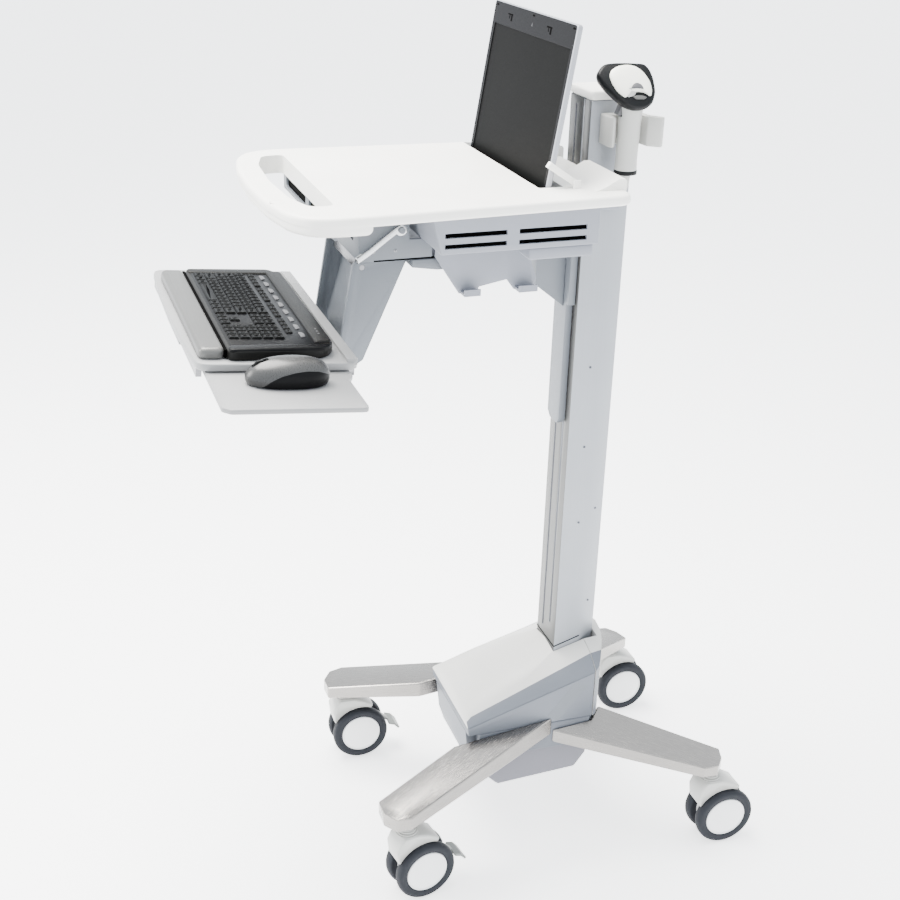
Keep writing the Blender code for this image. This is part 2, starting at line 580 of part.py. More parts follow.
def make_arm():
    y, z = ARM_PIVOT
    yoke = [(-0.367, FRAME_LOW - GAP), (-0.315, FRAME_LOW - GAP), (-0.325, 1.040), (-0.356, 1.036),
            (-0.368, 1.041)]
    bracket = solid("arm_pivot_bracket", prism(yoke, -0.060, 0.060, "x"), "lift", "steel", bevel=0.001)
    boolean(bracket, rod((-0.1, y, z), (0.1, y, z), 0.0043), "lift")

    body("keyboard_arm", (0, y, z), "lift")
    side = [(-0.3715, 1.0555), (-0.293, 1.0575), (-0.360, 0.905), (-0.371, 0.898), (-0.388, 0.899),
            (-0.396, 0.908), (-0.394, 0.940), (-0.376, 1.050)]
    arm = solid("keyboard_arm", prism(side, -ARM_HALF, ARM_HALF, "x"), "keyboard_arm", "mid_grey",
                bevel=0.0012)
    recess = [(-0.42, 0.88), (-0.376, 0.88), (-0.376, 0.935), (-0.349, 1.030), (-0.349, 1.08), (-0.42, 1.08)]
    boolean(arm, prism(recess, -0.073, 0.073, "x"), "keyboard_arm")
    pocket = [(-0.345, 1.08), (-0.345, 1.028), (-0.372, 0.930), (-0.366, 0.912), (-0.25, 0.95), (-0.25, 1.08)]
    boolean(arm, prism(pocket, -0.076, 0.076, "x"), "keyboard_arm")
    over_bracket = box((-0.064, 0.064), (-0.40, -0.310), (1.028, 1.08))
    boolean(arm, over_bracket, "keyboard_arm")
    boolean(arm, rod((-0.1, y, z), (0.1, y, z), 0.0043), "keyboard_arm")
    boolean(arm, rod((-0.1, *TRAY_PIVOT), (0.1, *TRAY_PIVOT), 0.0043), "keyboard_arm")
    solid("arm_pivot_pin", rod((-ARM_HALF, y, z), (ARM_HALF, y, z), 0.0040), "keyboard_arm", "steel")


def make_trays():
    y, z = TRAY_PIVOT
    body("keyboard_tray", (0, y, z), "keyboard_arm")
    solid("tray_pivot_pin", rod((-ARM_HALF, y, z), (ARM_HALF, y, z), 0.0040), "keyboard_arm", "steel")

    front = [(-TRAY_HALF, 0.008), (-0.110, 0.002), (0.0, 0.0), (0.110, 0.002), (TRAY_HALF, 0.008)]
    plan = front + [(TRAY_HALF, TRAY_DEPTH), (-TRAY_HALF, TRAY_DEPTH)]
    tray = solid("keyboard_tray", on_tray(prism(filleted(plan, 0.020), -TRAY_THICK, 0)), "keyboard_tray",
                 bevel=0.002)
    rail = on_tray(box((-0.205, 0.218), (TRAY_DEPTH - 0.018, TRAY_DEPTH - 0.003), (-0.004, 0.0045)))
    boolean(tray, rail, "keyboard_tray", "UNION")

    knuckle = on_tray(box((-0.058, 0.058), (0.009, 0.2300), (-0.0300, -0.0235)))
    bracket = solid("tray_slide_frame", knuckle, "keyboard_tray", "steel", bevel=0.0008)
    for near in (0.009, 0.2215):
        rail = on_tray(box((-0.205, 0.205), (near, near + 0.008), (-0.0240, -TRAY_THICK - GAP)))
        boolean(bracket, rail, "keyboard_tray", "UNION")
    barrel = [(y - 0.009, z), (y - 0.006, z + 0.007), (y, z + 0.009), (y + 0.0065, z + 0.006), (y + 0.009, z),
              (y + 0.006, z - 0.007), (y, z - 0.009), (y - 0.007, z - 0.006)]
    boolean(bracket, prism(barrel, -0.058, 0.058, "x"), "keyboard_tray", "UNION")
    foot = on_tray(box((-0.058, 0.058), (0.222, 0.2455), (-0.0400, -0.0245)))
    boolean(bracket, foot, "keyboard_tray", "UNION")
    boolean(bracket, rod((-0.1, y, z), (0.1, y, z), 0.0043), "keyboard_tray")

    body("mouse_tray", (0.2, -0.5, 0.95), "keyboard_tray")
    shelf = [(-0.010, 0.019), (MOUSE_TRAY_END - 0.010, 0.019), (MOUSE_TRAY_END, 0.030),
             (MOUSE_TRAY_END, 0.2105), (0.250, 0.2105), (0.235, 0.2190), (-0.010, 0.2190)]
    solid("mouse_tray", on_tray(prism(filleted(shelf, 0.008), -0.0200, -0.0130)), "mouse_tray", bevel=0.0012)


def make_keyboard_and_mouse():
    plan = [(-0.172, 0.050), (0.214, 0.050), (0.206, 0.186), (0.180, 0.204), (-0.160, 0.204), (-0.176, 0.186)]
    solid("keyboard", on_tray(prism(filleted(plan, 0.010), GAP, 0.0190)), "keyboard_tray", "key_grey",
          bevel=0.003)
    rest = [(-0.170, 0.012), (0.206, 0.012), (0.206, 0.048), (-0.170, 0.048)]
    solid("wrist_rest", on_tray(prism(filleted(rest, 0.008), GAP, 0.0160)), "keyboard_tray", "silver_plastic",
          bevel=0.005)

    body("mouse", (MOUSE_X, -0.5, 0.96), "mouse_tray")
    bottom = -0.0130 + GAP
    # height, half width, half length, and how far the ring sits behind the middle
    rings = []
    for height, half_width, half_length, back in (
        (0.000, 0.0280, 0.0540, 0.000), (0.004, 0.0310, 0.0570, 0.000), (0.012, 0.0310, 0.0575, 0.000),
        (0.022, 0.0280, 0.0530, 0.002), (0.030, 0.0210, 0.0440, 0.004), (0.035, 0.0130, 0.0300, 0.006),
        (0.037, 0.0050, 0.0120, 0.008),
    ):
        turns = [2 * math.pi * i / 28 for i in range(28)]
        rings.append([(MOUSE_X + half_width * math.cos(a), MOUSE_DEPTH + back + half_length * math.sin(a),
                       bottom + height)
                      for a in turns])
    mesh = lofted(rings)
    mouse = solid("mouse", on_tray(mesh), "mouse", "silver_plastic")
    wheel_depth = MOUSE_DEPTH - 0.038
    well = box((MOUSE_X - 0.0045, MOUSE_X + 0.0045), (wheel_depth - 0.011, wheel_depth + 0.011),
               (bottom + 0.013, 0.05))
    boolean(mouse, on_tray(well), "mouse")
    centre = on_tray_point(MOUSE_X, wheel_depth, bottom + 0.024)
    body("mouse_wheel", centre, "mouse")
    disc = rod(centre - Vector((0.003, 0, 0)), centre + Vector((0.003, 0, 0)), 0.0085, 20)
    solid("mouse_wheel", disc, "mouse_wheel", "black")


def on_tray_point(x, depth, height):
    frame = Matrix.Translation((0, *TRAY_FRONT)) @ Matrix.Rotation(-TRAY_TILT, 4, "X")
    return frame @ Vector((x, depth, height))


# ---------------------------------------------------------------- scanner

def make_scanner():
    x, y = SCANNER_AXIS
    wall = COLUMN_HALF + GAP
    cradle = [(wall, 0.015), (0.072, 0.015), (0.080, 0.019), (0.076, 0.0245), (0.0525, 0.0255),
              (0.0525, 0.070), (0.080, 0.073), (0.094, 0.090), (0.089, 0.096), (0.068, 0.082),
              (0.050, 0.080), (wall, 0.0460)]
    solid("scanner_holder", prism(cradle, 1.200, 1.244), "base", "cream", bevel=0.002)

    body("scanner", (x, y, 1.2), "base")
    grip = [(0, 1.137), (0.0050, 1.137), (0.0085, 1.160), (0.0165, 1.1625), (0.0165, 1.172), (0.0160, 1.180),
            (0.0170, 1.235), (0.0200, 1.262), (0.0150, 1.282), (0, 1.282)]
    gun = solid("scanner", turned(grip, (0, 0, 1), (x, y, 0), 20), "scanner", "cream")
    head = [(0, -0.020), (0.024, -0.019), (0.043, -0.006), (0.047, 0.004), (0.044, 0.011), (0.028, 0.018),
            (0, 0.020)]
    mesh = turned(head, (0, 0, 1), (0, 0, 0), 24)
    bmesh.ops.scale(mesh, vec=(1.0, 0.86, 1.0), verts=mesh.verts)
    facing = Vector((0.80, -0.12, 0.59)).normalized()
    turn = Vector((0, 0, 1)).rotation_difference(facing).to_matrix().to_4x4()
    bmesh.ops.transform(mesh, matrix=Matrix.Translation((0.080, 0.032, 1.283)) @ turn, verts=mesh.verts)
    boolean(gun, mesh, "scanner", "UNION")
    boolean(gun, box((x - 0.008, x + 0.008), (0.0200, 0.0370), (1.2450, 1.2640)), "scanner")

    body("scanner_trigger", (x, 0.032, 1.262), "scanner")
    trigger = [(0.0235, 1.2480), (0.0280, 1.2465), (0.0340, 1.2550), (0.0340, 1.2625), (0.0290, 1.2625)]
    solid("scanner_trigger", prism(trigger, x - 0.0065, x + 0.0065, "x"), "scanner_trigger", "mid_grey")


def main():
    clear_scene()
    body("cart", (0, 0, 0))
    bodies["base"] = bodies["cart"]
    make_base()
    make_covers()
    for corner, stem, turn, has_brake in (
        ("front_right", FRONT_STEM, 10, True),
        ("front_left", (-FRONT_STEM[0], FRONT_STEM[1]), 0, True),
        ("rear_right", REAR_STEM, 0, False),
        ("rear_left", (-REAR_STEM[0], REAR_STEM[1]), 0, False),
    ):
        make_caster(corner, stem, turn, has_brake)
    make_column()
    make_carriage()
    make_worksurface()
    make_box()
    make_lever_and_clip()
    make_laptop()
    make_arm()
    make_trays()
    make_keyboard_and_mouse()
    make_scanner()
    cart, _ = bodies["cart"]
    cart.location = (-sum(FOOTPRINT_X) / 2, -sum(FOOTPRINT_Y) / 2, -FLOOR)


main()
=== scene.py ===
"""The look of the medication cart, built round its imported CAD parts.

Lengths are metres. Local design places are measured from the column: X from its centre, Y from its front
face, Z from the floor less FLOOR. spot() turns them into the row frame.
"""

import json
import math

import bmesh
import bpy
from mathutils import Matrix, Vector

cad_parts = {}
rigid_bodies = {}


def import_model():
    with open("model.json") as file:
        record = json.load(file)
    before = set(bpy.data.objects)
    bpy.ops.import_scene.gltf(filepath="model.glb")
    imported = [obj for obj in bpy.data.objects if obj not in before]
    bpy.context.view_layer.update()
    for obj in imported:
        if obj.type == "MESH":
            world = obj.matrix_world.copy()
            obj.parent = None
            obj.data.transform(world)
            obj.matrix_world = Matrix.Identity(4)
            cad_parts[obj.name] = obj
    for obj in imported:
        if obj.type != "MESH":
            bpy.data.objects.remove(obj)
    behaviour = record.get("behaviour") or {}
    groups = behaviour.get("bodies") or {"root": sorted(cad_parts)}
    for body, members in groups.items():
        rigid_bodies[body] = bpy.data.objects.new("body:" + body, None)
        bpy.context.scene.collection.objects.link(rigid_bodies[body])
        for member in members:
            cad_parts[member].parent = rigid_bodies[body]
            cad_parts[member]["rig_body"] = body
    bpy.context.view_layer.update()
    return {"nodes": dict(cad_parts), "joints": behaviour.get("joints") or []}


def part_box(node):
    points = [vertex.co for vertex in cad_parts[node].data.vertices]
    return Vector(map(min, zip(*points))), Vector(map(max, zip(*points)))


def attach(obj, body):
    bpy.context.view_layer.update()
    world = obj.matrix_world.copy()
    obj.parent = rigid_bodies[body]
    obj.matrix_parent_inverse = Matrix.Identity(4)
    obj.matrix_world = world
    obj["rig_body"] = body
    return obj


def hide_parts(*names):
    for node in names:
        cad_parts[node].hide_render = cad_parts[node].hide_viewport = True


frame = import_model()
NODES = frame["nodes"]
JOINTS = {joint["child"]: joint for joint in frame["joints"]}

FLOOR = -0.011
COLUMN_LOW, COLUMN_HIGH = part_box("column_extrusion")
ORIGIN = Vector(((COLUMN_LOW.x + COLUMN_HIGH.x) / 2, COLUMN_LOW.y, -FLOOR))


def spot(x, y, z):
    """A design place in the row frame."""
    return ORIGIN + Vector((x, y, z))


# ---------------------------------------------------------------- materials

def node_tree(name):
    material = bpy.data.materials.new(name)
    material.use_nodes = True
    tree = material.node_tree
    return material, tree, tree.nodes["Principled BSDF"]


def finish(name, colour, rough, metal=0.0, grain=(900, 900, 900), bump=0.05, mottle=0.03, streak=0.0, coat=0.0,
           shine=0.5, turn=0.0):
    """A painted, moulded or brushed finish: fine grain in the bump and roughness, and a slow drift in the colour."""
    material, tree, shader = node_tree(name)
    make, link = tree.nodes.new, tree.links.new
    place = make("ShaderNodeTexCoord")

    def noise(scale, stretch, detail):
        mapping = make("ShaderNodeMapping")
        mapping.vector_type = "TEXTURE"
        mapping.inputs["Rotation"].default_value = (0, 0, turn)
        mapping.inputs["Scale"].default_value = [1 / share for share in stretch]
        link(place.outputs["Object"], mapping.inputs["Vector"])
        texture = make("ShaderNodeTexNoise")
        texture.inputs["Scale"].default_value = scale
        texture.inputs["Detail"].default_value = detail
        link(mapping.outputs["Vector"], texture.inputs["Vector"])
        return texture.outputs["Fac"]

    def spread(value, low, high):
        stretch = make("ShaderNodeMapRange")
        stretch.inputs["From Min"].default_value = 0.3
        stretch.inputs["From Max"].default_value = 0.7
        stretch.inputs["To Min"].default_value = low
        stretch.inputs["To Max"].default_value = high
        link(value, stretch.inputs["Value"])
        return stretch.outputs["Result"]

    fine = noise(1.0, grain, 2.0)
    slow = noise(9.0, (1.0, 1.0, 1.0), 3.0)
    tone = make("ShaderNodeMix")
    tone.data_type = "RGBA"
    tone.inputs[6].default_value = (*[max(0.0, c * (1 - mottle)) for c in colour], 1)
    tone.inputs[7].default_value = (*[min(1.0, c * (1 + mottle)) for c in colour], 1)
    link(spread(slow, 0.0, 1.0), tone.inputs["Factor"])
    shade = make("ShaderNodeMix")
    shade.data_type = "RGBA"
    shade.blend_type = "MULTIPLY"
    shade.inputs["Factor"].default_value = 1.0
    grey = make("ShaderNodeCombineColor")
    level = spread(fine, 1.0 - streak, 1.0)
    for channel in ("Red", "Green", "Blue"):
        link(level, grey.inputs[channel])
    link(tone.outputs[2], shade.inputs[6])
    link(grey.outputs["Color"], shade.inputs[7])
    link(shade.outputs[2], shader.inputs["Base Color"])
    link(spread(fine, max(0.02, rough - 0.06), min(1.0, rough + 0.06)), shader.inputs["Roughness"])
    shader.inputs["Metallic"].default_value = metal
    shader.inputs["Specular IOR Level"].default_value = shine
    shader.inputs["Coat Weight"].default_value = coat
    shader.inputs["Coat Roughness"].default_value = 0.15
    if bump:
        relief = make("ShaderNodeBump")
        relief.inputs["Strength"].default_value = bump
        relief.inputs["Distance"].default_value = 0.0006
        link(fine, relief.inputs["Height"])
        link(relief.outputs["Normal"], shader.inputs["Normal"])
    return material


EVEN = (900, 900, 900)
ALONG_Y = (700, 18, 700)
ALONG_Z = (900, 900, 12)
M = {
    "white": finish("white_shell", (0.84, 0.83, 0.79), 0.42, bump=0.10),
    "cover": finish("cover_white", (0.62, 0.61, 0.58), 0.40, bump=0.10),
    "tray": finish("tray_white", (0.235, 0.237, 0.240), 0.42, bump=0.12),
    # the base's pale shell darkened to blue-grey as painted shade: its skirt and side faces turn away from the top
    # light
    "skirt": finish("pale_shell", (0.128, 0.140, 0.163), 0.45, bump=0.10),
    "box": finish("box_grey", (0.205, 0.217, 0.25), 0.50, bump=0.10),
    "arm": finish("arm_grey", (0.125, 0.138, 0.156), 0.50, bump=0.12),
    "hub": finish("hub_paint", (0.1, 0.11, 0.13), 0.50, metal=0.2, bump=0.15),
    "tub": finish("tub_plastic", (0.128, 0.128, 0.150), 0.50, bump=0.15),
    "column": finish("column_aluminium", (0.29, 0.305, 0.33), 0.42, metal=0.35, grain=ALONG_Z, bump=0.04, streak=0.06),
    "channel": finish("channel_grey", (0.085, 0.086, 0.084), 0.42, metal=0.35, grain=ALONG_Z, bump=0.04, streak=0.12),
    "steel": finish("steel", (0.22, 0.22, 0.23), 0.30, metal=1.0, grain=ALONG_Y, bump=0.05, streak=0.1),
    "chrome": finish("lever_metal", (0.50, 0.51, 0.52), 0.24, metal=1.0, bump=0.02),
    "black": finish("black_plastic", (0.0016, 0.0016, 0.002), 0.34, bump=0.08, mottle=0.15, shine=0.1),
    # near black: the colour of real gaps and seams, and painted shade where it lines the vents and grip pockets
    "dark": finish("gap_and_painted_shade", (0.0004, 0.0004, 0.0004), 0.80, bump=0.05, mottle=0.15, shine=0.02),
    "tyre": finish("tyre", (0.0150, 0.0165, 0.0205), 0.60, grain=(500, 500, 500), bump=0.20, mottle=0.10, shine=0.12),
    "disc": finish("disc_white", (0.82, 0.82, 0.82), 0.24, bump=0.03, coat=0.5),
    "caster": finish("caster_white", (0.42, 0.42, 0.40), 0.42, bump=0.10),
    "pedal": finish("pedal_grey", (0.17, 0.18, 0.17), 0.45, bump=0.10),
    "case": finish("laptop_case", (0.30, 0.31, 0.34), 0.32, metal=0.4, bump=0.04),
    "bezel": finish("bezel", (0.0014, 0.0013, 0.0019), 0.45, bump=0.06, mottle=0.10, shine=0.06),
    "screen": finish("screen", (0.0034, 0.0034, 0.0034), 0.50, bump=0.02, mottle=0.03, shine=0.02),
    "deck_key": finish("keyboard_grey", (0.0065, 0.0064, 0.006), 0.42, bump=0.12, mottle=0.10, shine=0.12),
    "key": finish("key_black", (0.0013, 0.0013, 0.0013), 0.42, bump=0.12, mottle=0.15, shine=0.07),
    "crown": finish("mouse_silver", (0.050, 0.050, 0.050), 0.30, metal=0.5, bump=0.06),
    "silver": finish("silver_plastic", (0.095, 0.095, 0.092), 0.36, metal=0.35, bump=0.08),
    "cream": finish("cream_plastic", (0.42, 0.42, 0.4), 0.40, bump=0.08),
    "face": finish("scanner_face", (0.84, 0.84, 0.76), 0.36, bump=0.08),
    "trigger": finish("trigger_grey", (0.07, 0.07, 0.075), 0.45, bump=0.08),
    "charcoal": finish("scanner_grey", (0.005, 0.0054, 0.006), 0.42, bump=0.15, mottle=0.10, shine=0.12),
    "glass": finish("window", (0.001, 0.0008, 0.0008), 0.08, bump=0.0, mottle=0.10, coat=0.4, shine=0.1),
}


# ---------------------------------------------------------------- mesh helpers

def prism(outline, low, high, axis="z"):
    """A closed outline pushed from low to high along an axis; the outline's plane is the other two axes in order."""
    order = {"x": lambda a, b, c: (c, a, b), "y": lambda a, b, c: (a, c, b), "z": lambda a, b, c: (a, b, c)}[axis]
    mesh = bmesh.new()
    rings = [[mesh.verts.new(order(a, b, level)) for a, b in outline] for level in (low, high)]
    mesh.faces.new(rings[0])
    mesh.faces.new(rings[1])
    for i in range(len(outline)):
        j = (i + 1) % len(outline)
        mesh.faces.new((rings[0][i], rings[0][j], rings[1][j], rings[1][i]))
    bmesh.ops.recalc_face_normals(mesh, faces=mesh.faces)
    return mesh


def lofted(rings):
    """A closed skin over rings of the same number of points."""
    mesh = bmesh.new()
    made = [[mesh.verts.new(p) for p in ring] for ring in rings]
    mesh.faces.new(made[0])
    mesh.faces.new(made[-1])
    for lower, upper in zip(made, made[1:]):
        for i in range(len(lower)):
            j = (i + 1) % len(lower)
            mesh.faces.new((lower[i], lower[j], upper[j], upper[i]))
    bmesh.ops.recalc_face_normals(mesh, faces=mesh.faces)
    return mesh


def filleted(corners, radius, steps=5):
    """The outline with each corner rounded."""
    made = []
    count = len(corners)
    for i, corner in enumerate(corners):
        here = Vector(corner)
        before, after = Vector(corners[i - 1]) - here, Vector(corners[(i + 1) % count]) - here
        reach = min(radius, before.length * 0.45, after.length * 0.45)
        start, end = here + before.normalized() * reach, here + after.normalized() * reach
        for k in range(steps + 1):
            t = k / steps
            made.append(tuple(start * (1 - t) ** 2 + here * 2 * t * (1 - t) + end * t * t))
    return made


def inset(outline, amount):
    """The outline moved towards its inside."""
    count = len(outline)
    area = sum(outline[i - 1][0] * outline[i][1] - outline[i][0] * outline[i - 1][1] for i in range(count))
    sign = 1 if area > 0 else -1
    made = []
    for i in range(count):
        before = (Vector(outline[i]) - Vector(outline[i - 1])).normalized()
        after = (Vector(outline[(i + 1) % count]) - Vector(outline[i])).normalized()
        along = (before + after).normalized()
        made.append((outline[i][0] - along.y * amount * sign, outline[i][1] + along.x * amount * sign))
    return made


def pillow(outline, low, high, under=0.002, over=0.002, steps=3):
    """A slab with its lower and upper edges rounded by under and over."""
    rings = [[(x, y, low + under * (1 - math.cos(math.pi / 2 * k / steps)))
              for x, y in inset(outline, under * (1 - math.sin(math.pi / 2 * k / steps)))] for k in range(steps + 1)]
    rings += [[(x, y, high - over * (1 - math.sin(math.pi / 2 * k / steps)))
               for x, y in inset(outline, over * (1 - math.cos(math.pi / 2 * k / steps)))] for k in range(steps + 1)]
    return lofted(rings)


def turned(profile, axis, centre, steps=48):
    """A profile of (radius, distance) turned about an axis through a centre."""
    axis, centre = Vector(axis).normalized(), Vector(centre)
    side = axis.orthogonal().normalized()
    other = axis.cross(side)
    mesh = bmesh.new()
    rings = []
    for radius, along in profile:
        middle = centre + axis * along
        if radius <= 0:
            rings.append([mesh.verts.new(middle)])
            continue
        rings.append([mesh.verts.new(middle + (side * math.cos(a) + other * math.sin(a)) * radius)
                      for a in (2 * math.pi * i / steps for i in range(steps))])
    for lower, upper in zip(rings, rings[1:]):
        for i in range(steps):
            j = (i + 1) % steps
            corners = [lower[i % len(lower)], lower[j % len(lower)], upper[j % len(upper)], upper[i % len(upper)]]
            corners = list(dict.fromkeys(corners))
            if len(corners) > 2:
                mesh.faces.new(corners)
    bmesh.ops.recalc_face_normals(mesh, faces=mesh.faces)
    return mesh


def block(x, y, z, radius=0.0006, steps=2):
    """A box with all its upright and level edges rounded."""
    outline = filleted([(x[0], y[0]), (x[1], y[0]), (x[1], y[1]), (x[0], y[1])], radius, steps)
    return pillow(outline, z[0], z[1], radius * 0.7, radius * 0.7, steps)


def moved(mesh, matrix):
    bmesh.ops.transform(mesh, matrix=matrix, verts=mesh.verts)
    return mesh


def joined(*meshes):
    """Several meshes as one."""
    whole = bmesh.new()
    for mesh in meshes:
        part = bpy.data.meshes.new("part")
        mesh.to_mesh(part)
        mesh.free()
        whole.from_mesh(part)
        bpy.data.meshes.remove(part)
    return whole


def piece(name, mesh, material, body, replaces=(), local=True, sharp=34):
    """One visible piece. A local mesh is drawn in design places."""
    if local:
        moved(mesh, Matrix.Translation(ORIGIN))
    data = bpy.data.meshes.new(name)
    mesh.to_mesh(data)
    mesh.free()
    data.polygons.foreach_set("use_smooth", [True] * len(data.polygons))
    data.set_sharp_from_angle(angle=math.radians(sharp))
    thing = bpy.data.objects.new(name, data)
    bpy.context.scene.collection.objects.link(thing)
    data.materials.append(M[material])
    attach(thing, body)
    if replaces:
        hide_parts(*replaces)
    return thing


def carve(thing, mesh, operation="DIFFERENCE", local=True):
    """Cuts a mesh out of a piece, or joins it on, and keeps the result as the piece's own mesh."""
    if local:
        moved(mesh, Matrix.Translation(ORIGIN))
    data = bpy.data.meshes.new("cutter")
    mesh.to_mesh(data)
    mesh.free()
    cutter = bpy.data.objects.new("cutter", data)
    bpy.context.scene.collection.objects.link(cutter)
    modifier = thing.modifiers.new("cut", "BOOLEAN")
    modifier.operation, modifier.object, modifier.solver = operation, cutter, "EXACT"
    graph = bpy.context.evaluated_depsgraph_get()
    result = bpy.data.meshes.new_from_object(thing.evaluated_get(graph))
    thing.modifiers.clear()
    thing.data = result
    bpy.data.objects.remove(cutter)
    result.polygons.foreach_set("use_smooth", [True] * len(result.polygons))
    result.set_sharp_from_angle(angle=math.radians(34))
    return thing


# ---------------------------------------------------------------- CAD parts shown in their own shape

def skin(node, material, bevel=0.0, sharp=34):
    """The CAD part's own surface with its edges merged, rounded and smoothly shaded."""
    mesh = bmesh.new()
    mesh.from_mesh(NODES[node].data)
    bmesh.ops.remove_doubles(mesh, verts=mesh.verts, dist=0.00001)
    bmesh.ops.dissolve_limit(mesh, angle_limit=math.radians(0.5), verts=mesh.verts, edges=mesh.edges)
    if bevel:
        edges = [e for e in mesh.edges if len(e.link_faces) == 2 and e.calc_face_angle(0) > math.radians(40)]
        bmesh.ops.bevel(mesh, geom=edges, offset=bevel, segments=2, profile=0.6, affect="EDGES", clamp_overlap=True)
    return piece(f"{node}_skin", mesh, material, NODES[node]["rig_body"], (node,), local=False, sharp=sharp)


CORNERS = ("front_right", "front_left", "rear_right", "rear_left")
SKINS = {
    "white": ["column_cap", "lid_clip"],
    "tray": ["keyboard_tray", "mouse_tray"],
    "cover": ["base_top_cover", "base_rear_cover"],
    "skirt": ["base_skirt"],
    "box": ["laptop_box", "box_lower_housing", "carriage_collar", "cable_hanger"],
    "arm": ["keyboard_arm", "deck_frame", "arm_stop_plate", "carriage_plate", "carriage_gusset"],
    "hub": ["hub_casting"],
    "tub": ["under_tub"],
    "column": ["column_extrusion"],
    "steel": ["ballast_weight", "arm_pivot_bracket", "arm_pivot_pin", "tray_pivot_pin", "tray_slide_frame",
              "gas_spring_rod"] + [f"caster_{corner}_axle" for corner in CORNERS],
    "chrome": ["release_lever"],
    "black": ["gas_spring_cylinder", "carriage_guide"],
    "case": ["laptop_base"],
    "cream": ["scanner_holder"],
    "trigger": ["scanner_trigger"],
    "pedal": ["brake_pedal_front_right", "brake_pedal_front_left"],
    "caster": [f"caster_{corner}_body" for corner in CORNERS],
}
for corner in CORNERS:
    stem = Vector(JOINTS[f"caster_{corner}"]["pos_m"])
    side = 0.075 if stem.x > ORIGIN.x else -0.075
    along = math.atan2(stem.y - ORIGIN.y - (-0.080 if "front" in corner else 0.060), stem.x - ORIGIN.x - side)
    M[f"leg_{corner}"] = finish(f"leg_{corner}_metal", (0.280, 0.266, 0.252), 0.24, metal=0.92, grain=(7, 420, 420),
                                bump=0.015, mottle=0.03, streak=0.10, turn=along)
    SKINS[f"leg_{corner}"] = [f"leg_{corner}"]
ROUNDED = {"base_skirt": 0.002, "hub_casting": 0.002, "keyboard_arm": 0.0008}
skins = {node: skin(node, material, ROUNDED.get(node, 0.0), 18 if "leg_" in node else 34)
         for material, nodes in SKINS.items() for node in nodes}


def recolour_by_facing(thing, material, chosen):
    """Gives the faces that chosen() picks a second finish."""
    thing.data.materials.append(M[material])
    for face in thing.data.polygons:
        if chosen(face):
            face.material_index = 1


# the base covers' side faces, picked by which way they face, take the darker skirt colour as painted shade
recolour_by_facing(skins["base_top_cover"], "skirt", lambda face: face.normal.z < 0.80 and abs(face.normal.x) > 0.3)
recolour_by_facing(skins["base_rear_cover"], "skirt", lambda face: face.normal.z < 0.80 and abs(face.normal.x) > 0.3)
recolour_by_facing(skins["column_extrusion"], "channel", lambda face: face.normal.y < -0.5)


# ---------------------------------------------------------------- casters

def local_frame(child):
    """A joint's centre and axis in the row frame."""
    joint = JOINTS[child]
    return Vector(joint["pos_m"]), Vector(joint["axis"]).normalized()


def wheel(name):
    """A rubber tyre with moulded shoulders and a mould seam round a domed disc with a rim groove."""
    centre, axis = local_frame(name)
    low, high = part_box(name)
    middle = (low + high) / 2
    out = axis if (middle - centre).dot(axis) > 0 else -axis
    radius = (high.z - low.z) / 2
    tyre = [(radius * 0.700, 0.0105), (radius * 0.860, 0.0088), (radius * 0.930, 0.0092), (radius * 0.965, 0.0110),
            (radius * 0.990, 0.0140), (radius * 0.999, 0.0175), (radius * 0.999, 0.0205), (radius * 0.990, 0.0238),
            (radius * 0.965, 0.0265), (radius * 0.925, 0.0282), (radius * 0.880, 0.0286), (radius * 0.800, 0.0284),
            (radius * 0.720, 0.0274), (radius * 0.700, 0.0258), (radius * 0.700, 0.0105)]
    piece(f"{name}_tyre", turned(tyre, out, centre, 72), "tyre", name, (name,), local=False)
    seam = [(radius * 0.9985, 0.0186), (radius, 0.0188), (radius, 0.0194), (radius * 0.9985, 0.0196),
            (radius * 0.9985, 0.0186)]
    piece(f"{name}_mould_seam", turned(seam, out, centre, 72), "tyre", name, local=False)
    disc = [(0, 0.0090), (radius * 0.670, 0.0090), (radius * 0.697, 0.0100), (radius * 0.697, 0.0262),
            (radius * 0.685, 0.0274), (radius * 0.665, 0.0278), (radius * 0.652, 0.0270), (radius * 0.640, 0.0264),
            (radius * 0.620, 0.0270), (radius * 0.530, 0.0281), (radius * 0.400, 0.0290), (radius * 0.270, 0.0295),
            (radius * 0.135, 0.0298), (0, 0.0299)]
    piece(f"{name}_disc", turned(disc, out, centre, 64), "disc", name, local=False)


for corner in CORNERS:
    for side in ("inner", "outer"):
        wheel(f"caster_{corner}_wheel_{side}")


def caster_trim(corner):
    """The swivel's bearing rings and the stem collar of one caster."""
    name = f"caster_{corner}"
    stem, _ = local_frame(name)
    _, axis = local_frame(f"{name}_wheel_outer")
    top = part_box(f"{name}_body")[0].z
    base = Vector((stem.x, stem.y, -FLOOR))
    rings = ((0.0205, 0.1176, 0.1192), (0.0182, 0.1190, 0.1214), (0.0150, 0.1212, 0.1246), (0.0133, 0.1244, 0.1262))
    for index, (radius, low, high) in enumerate(rings):
        edge = 0.0006
        profile = [(0, low), (radius - edge, low), (radius, low + edge), (radius, high - edge), (radius - edge, high), (0, high)]
        ring = turned(profile, (0, 0, 1), base, 48)
        piece(f"{name}_bearing_{index}", ring, "caster", name, local=False)
    race = [(0, 0.1262), (0.0104, 0.1262), (0.0104, 0.1296), (0, 0.1296)]
    piece(f"{name}_race", turned(race, (0, 0, 1), base, 40), "steel", name, local=False)
    return top, axis


for corner in CORNERS:
    caster_trim(corner)


# ---------------------------------------------------------------- base covers

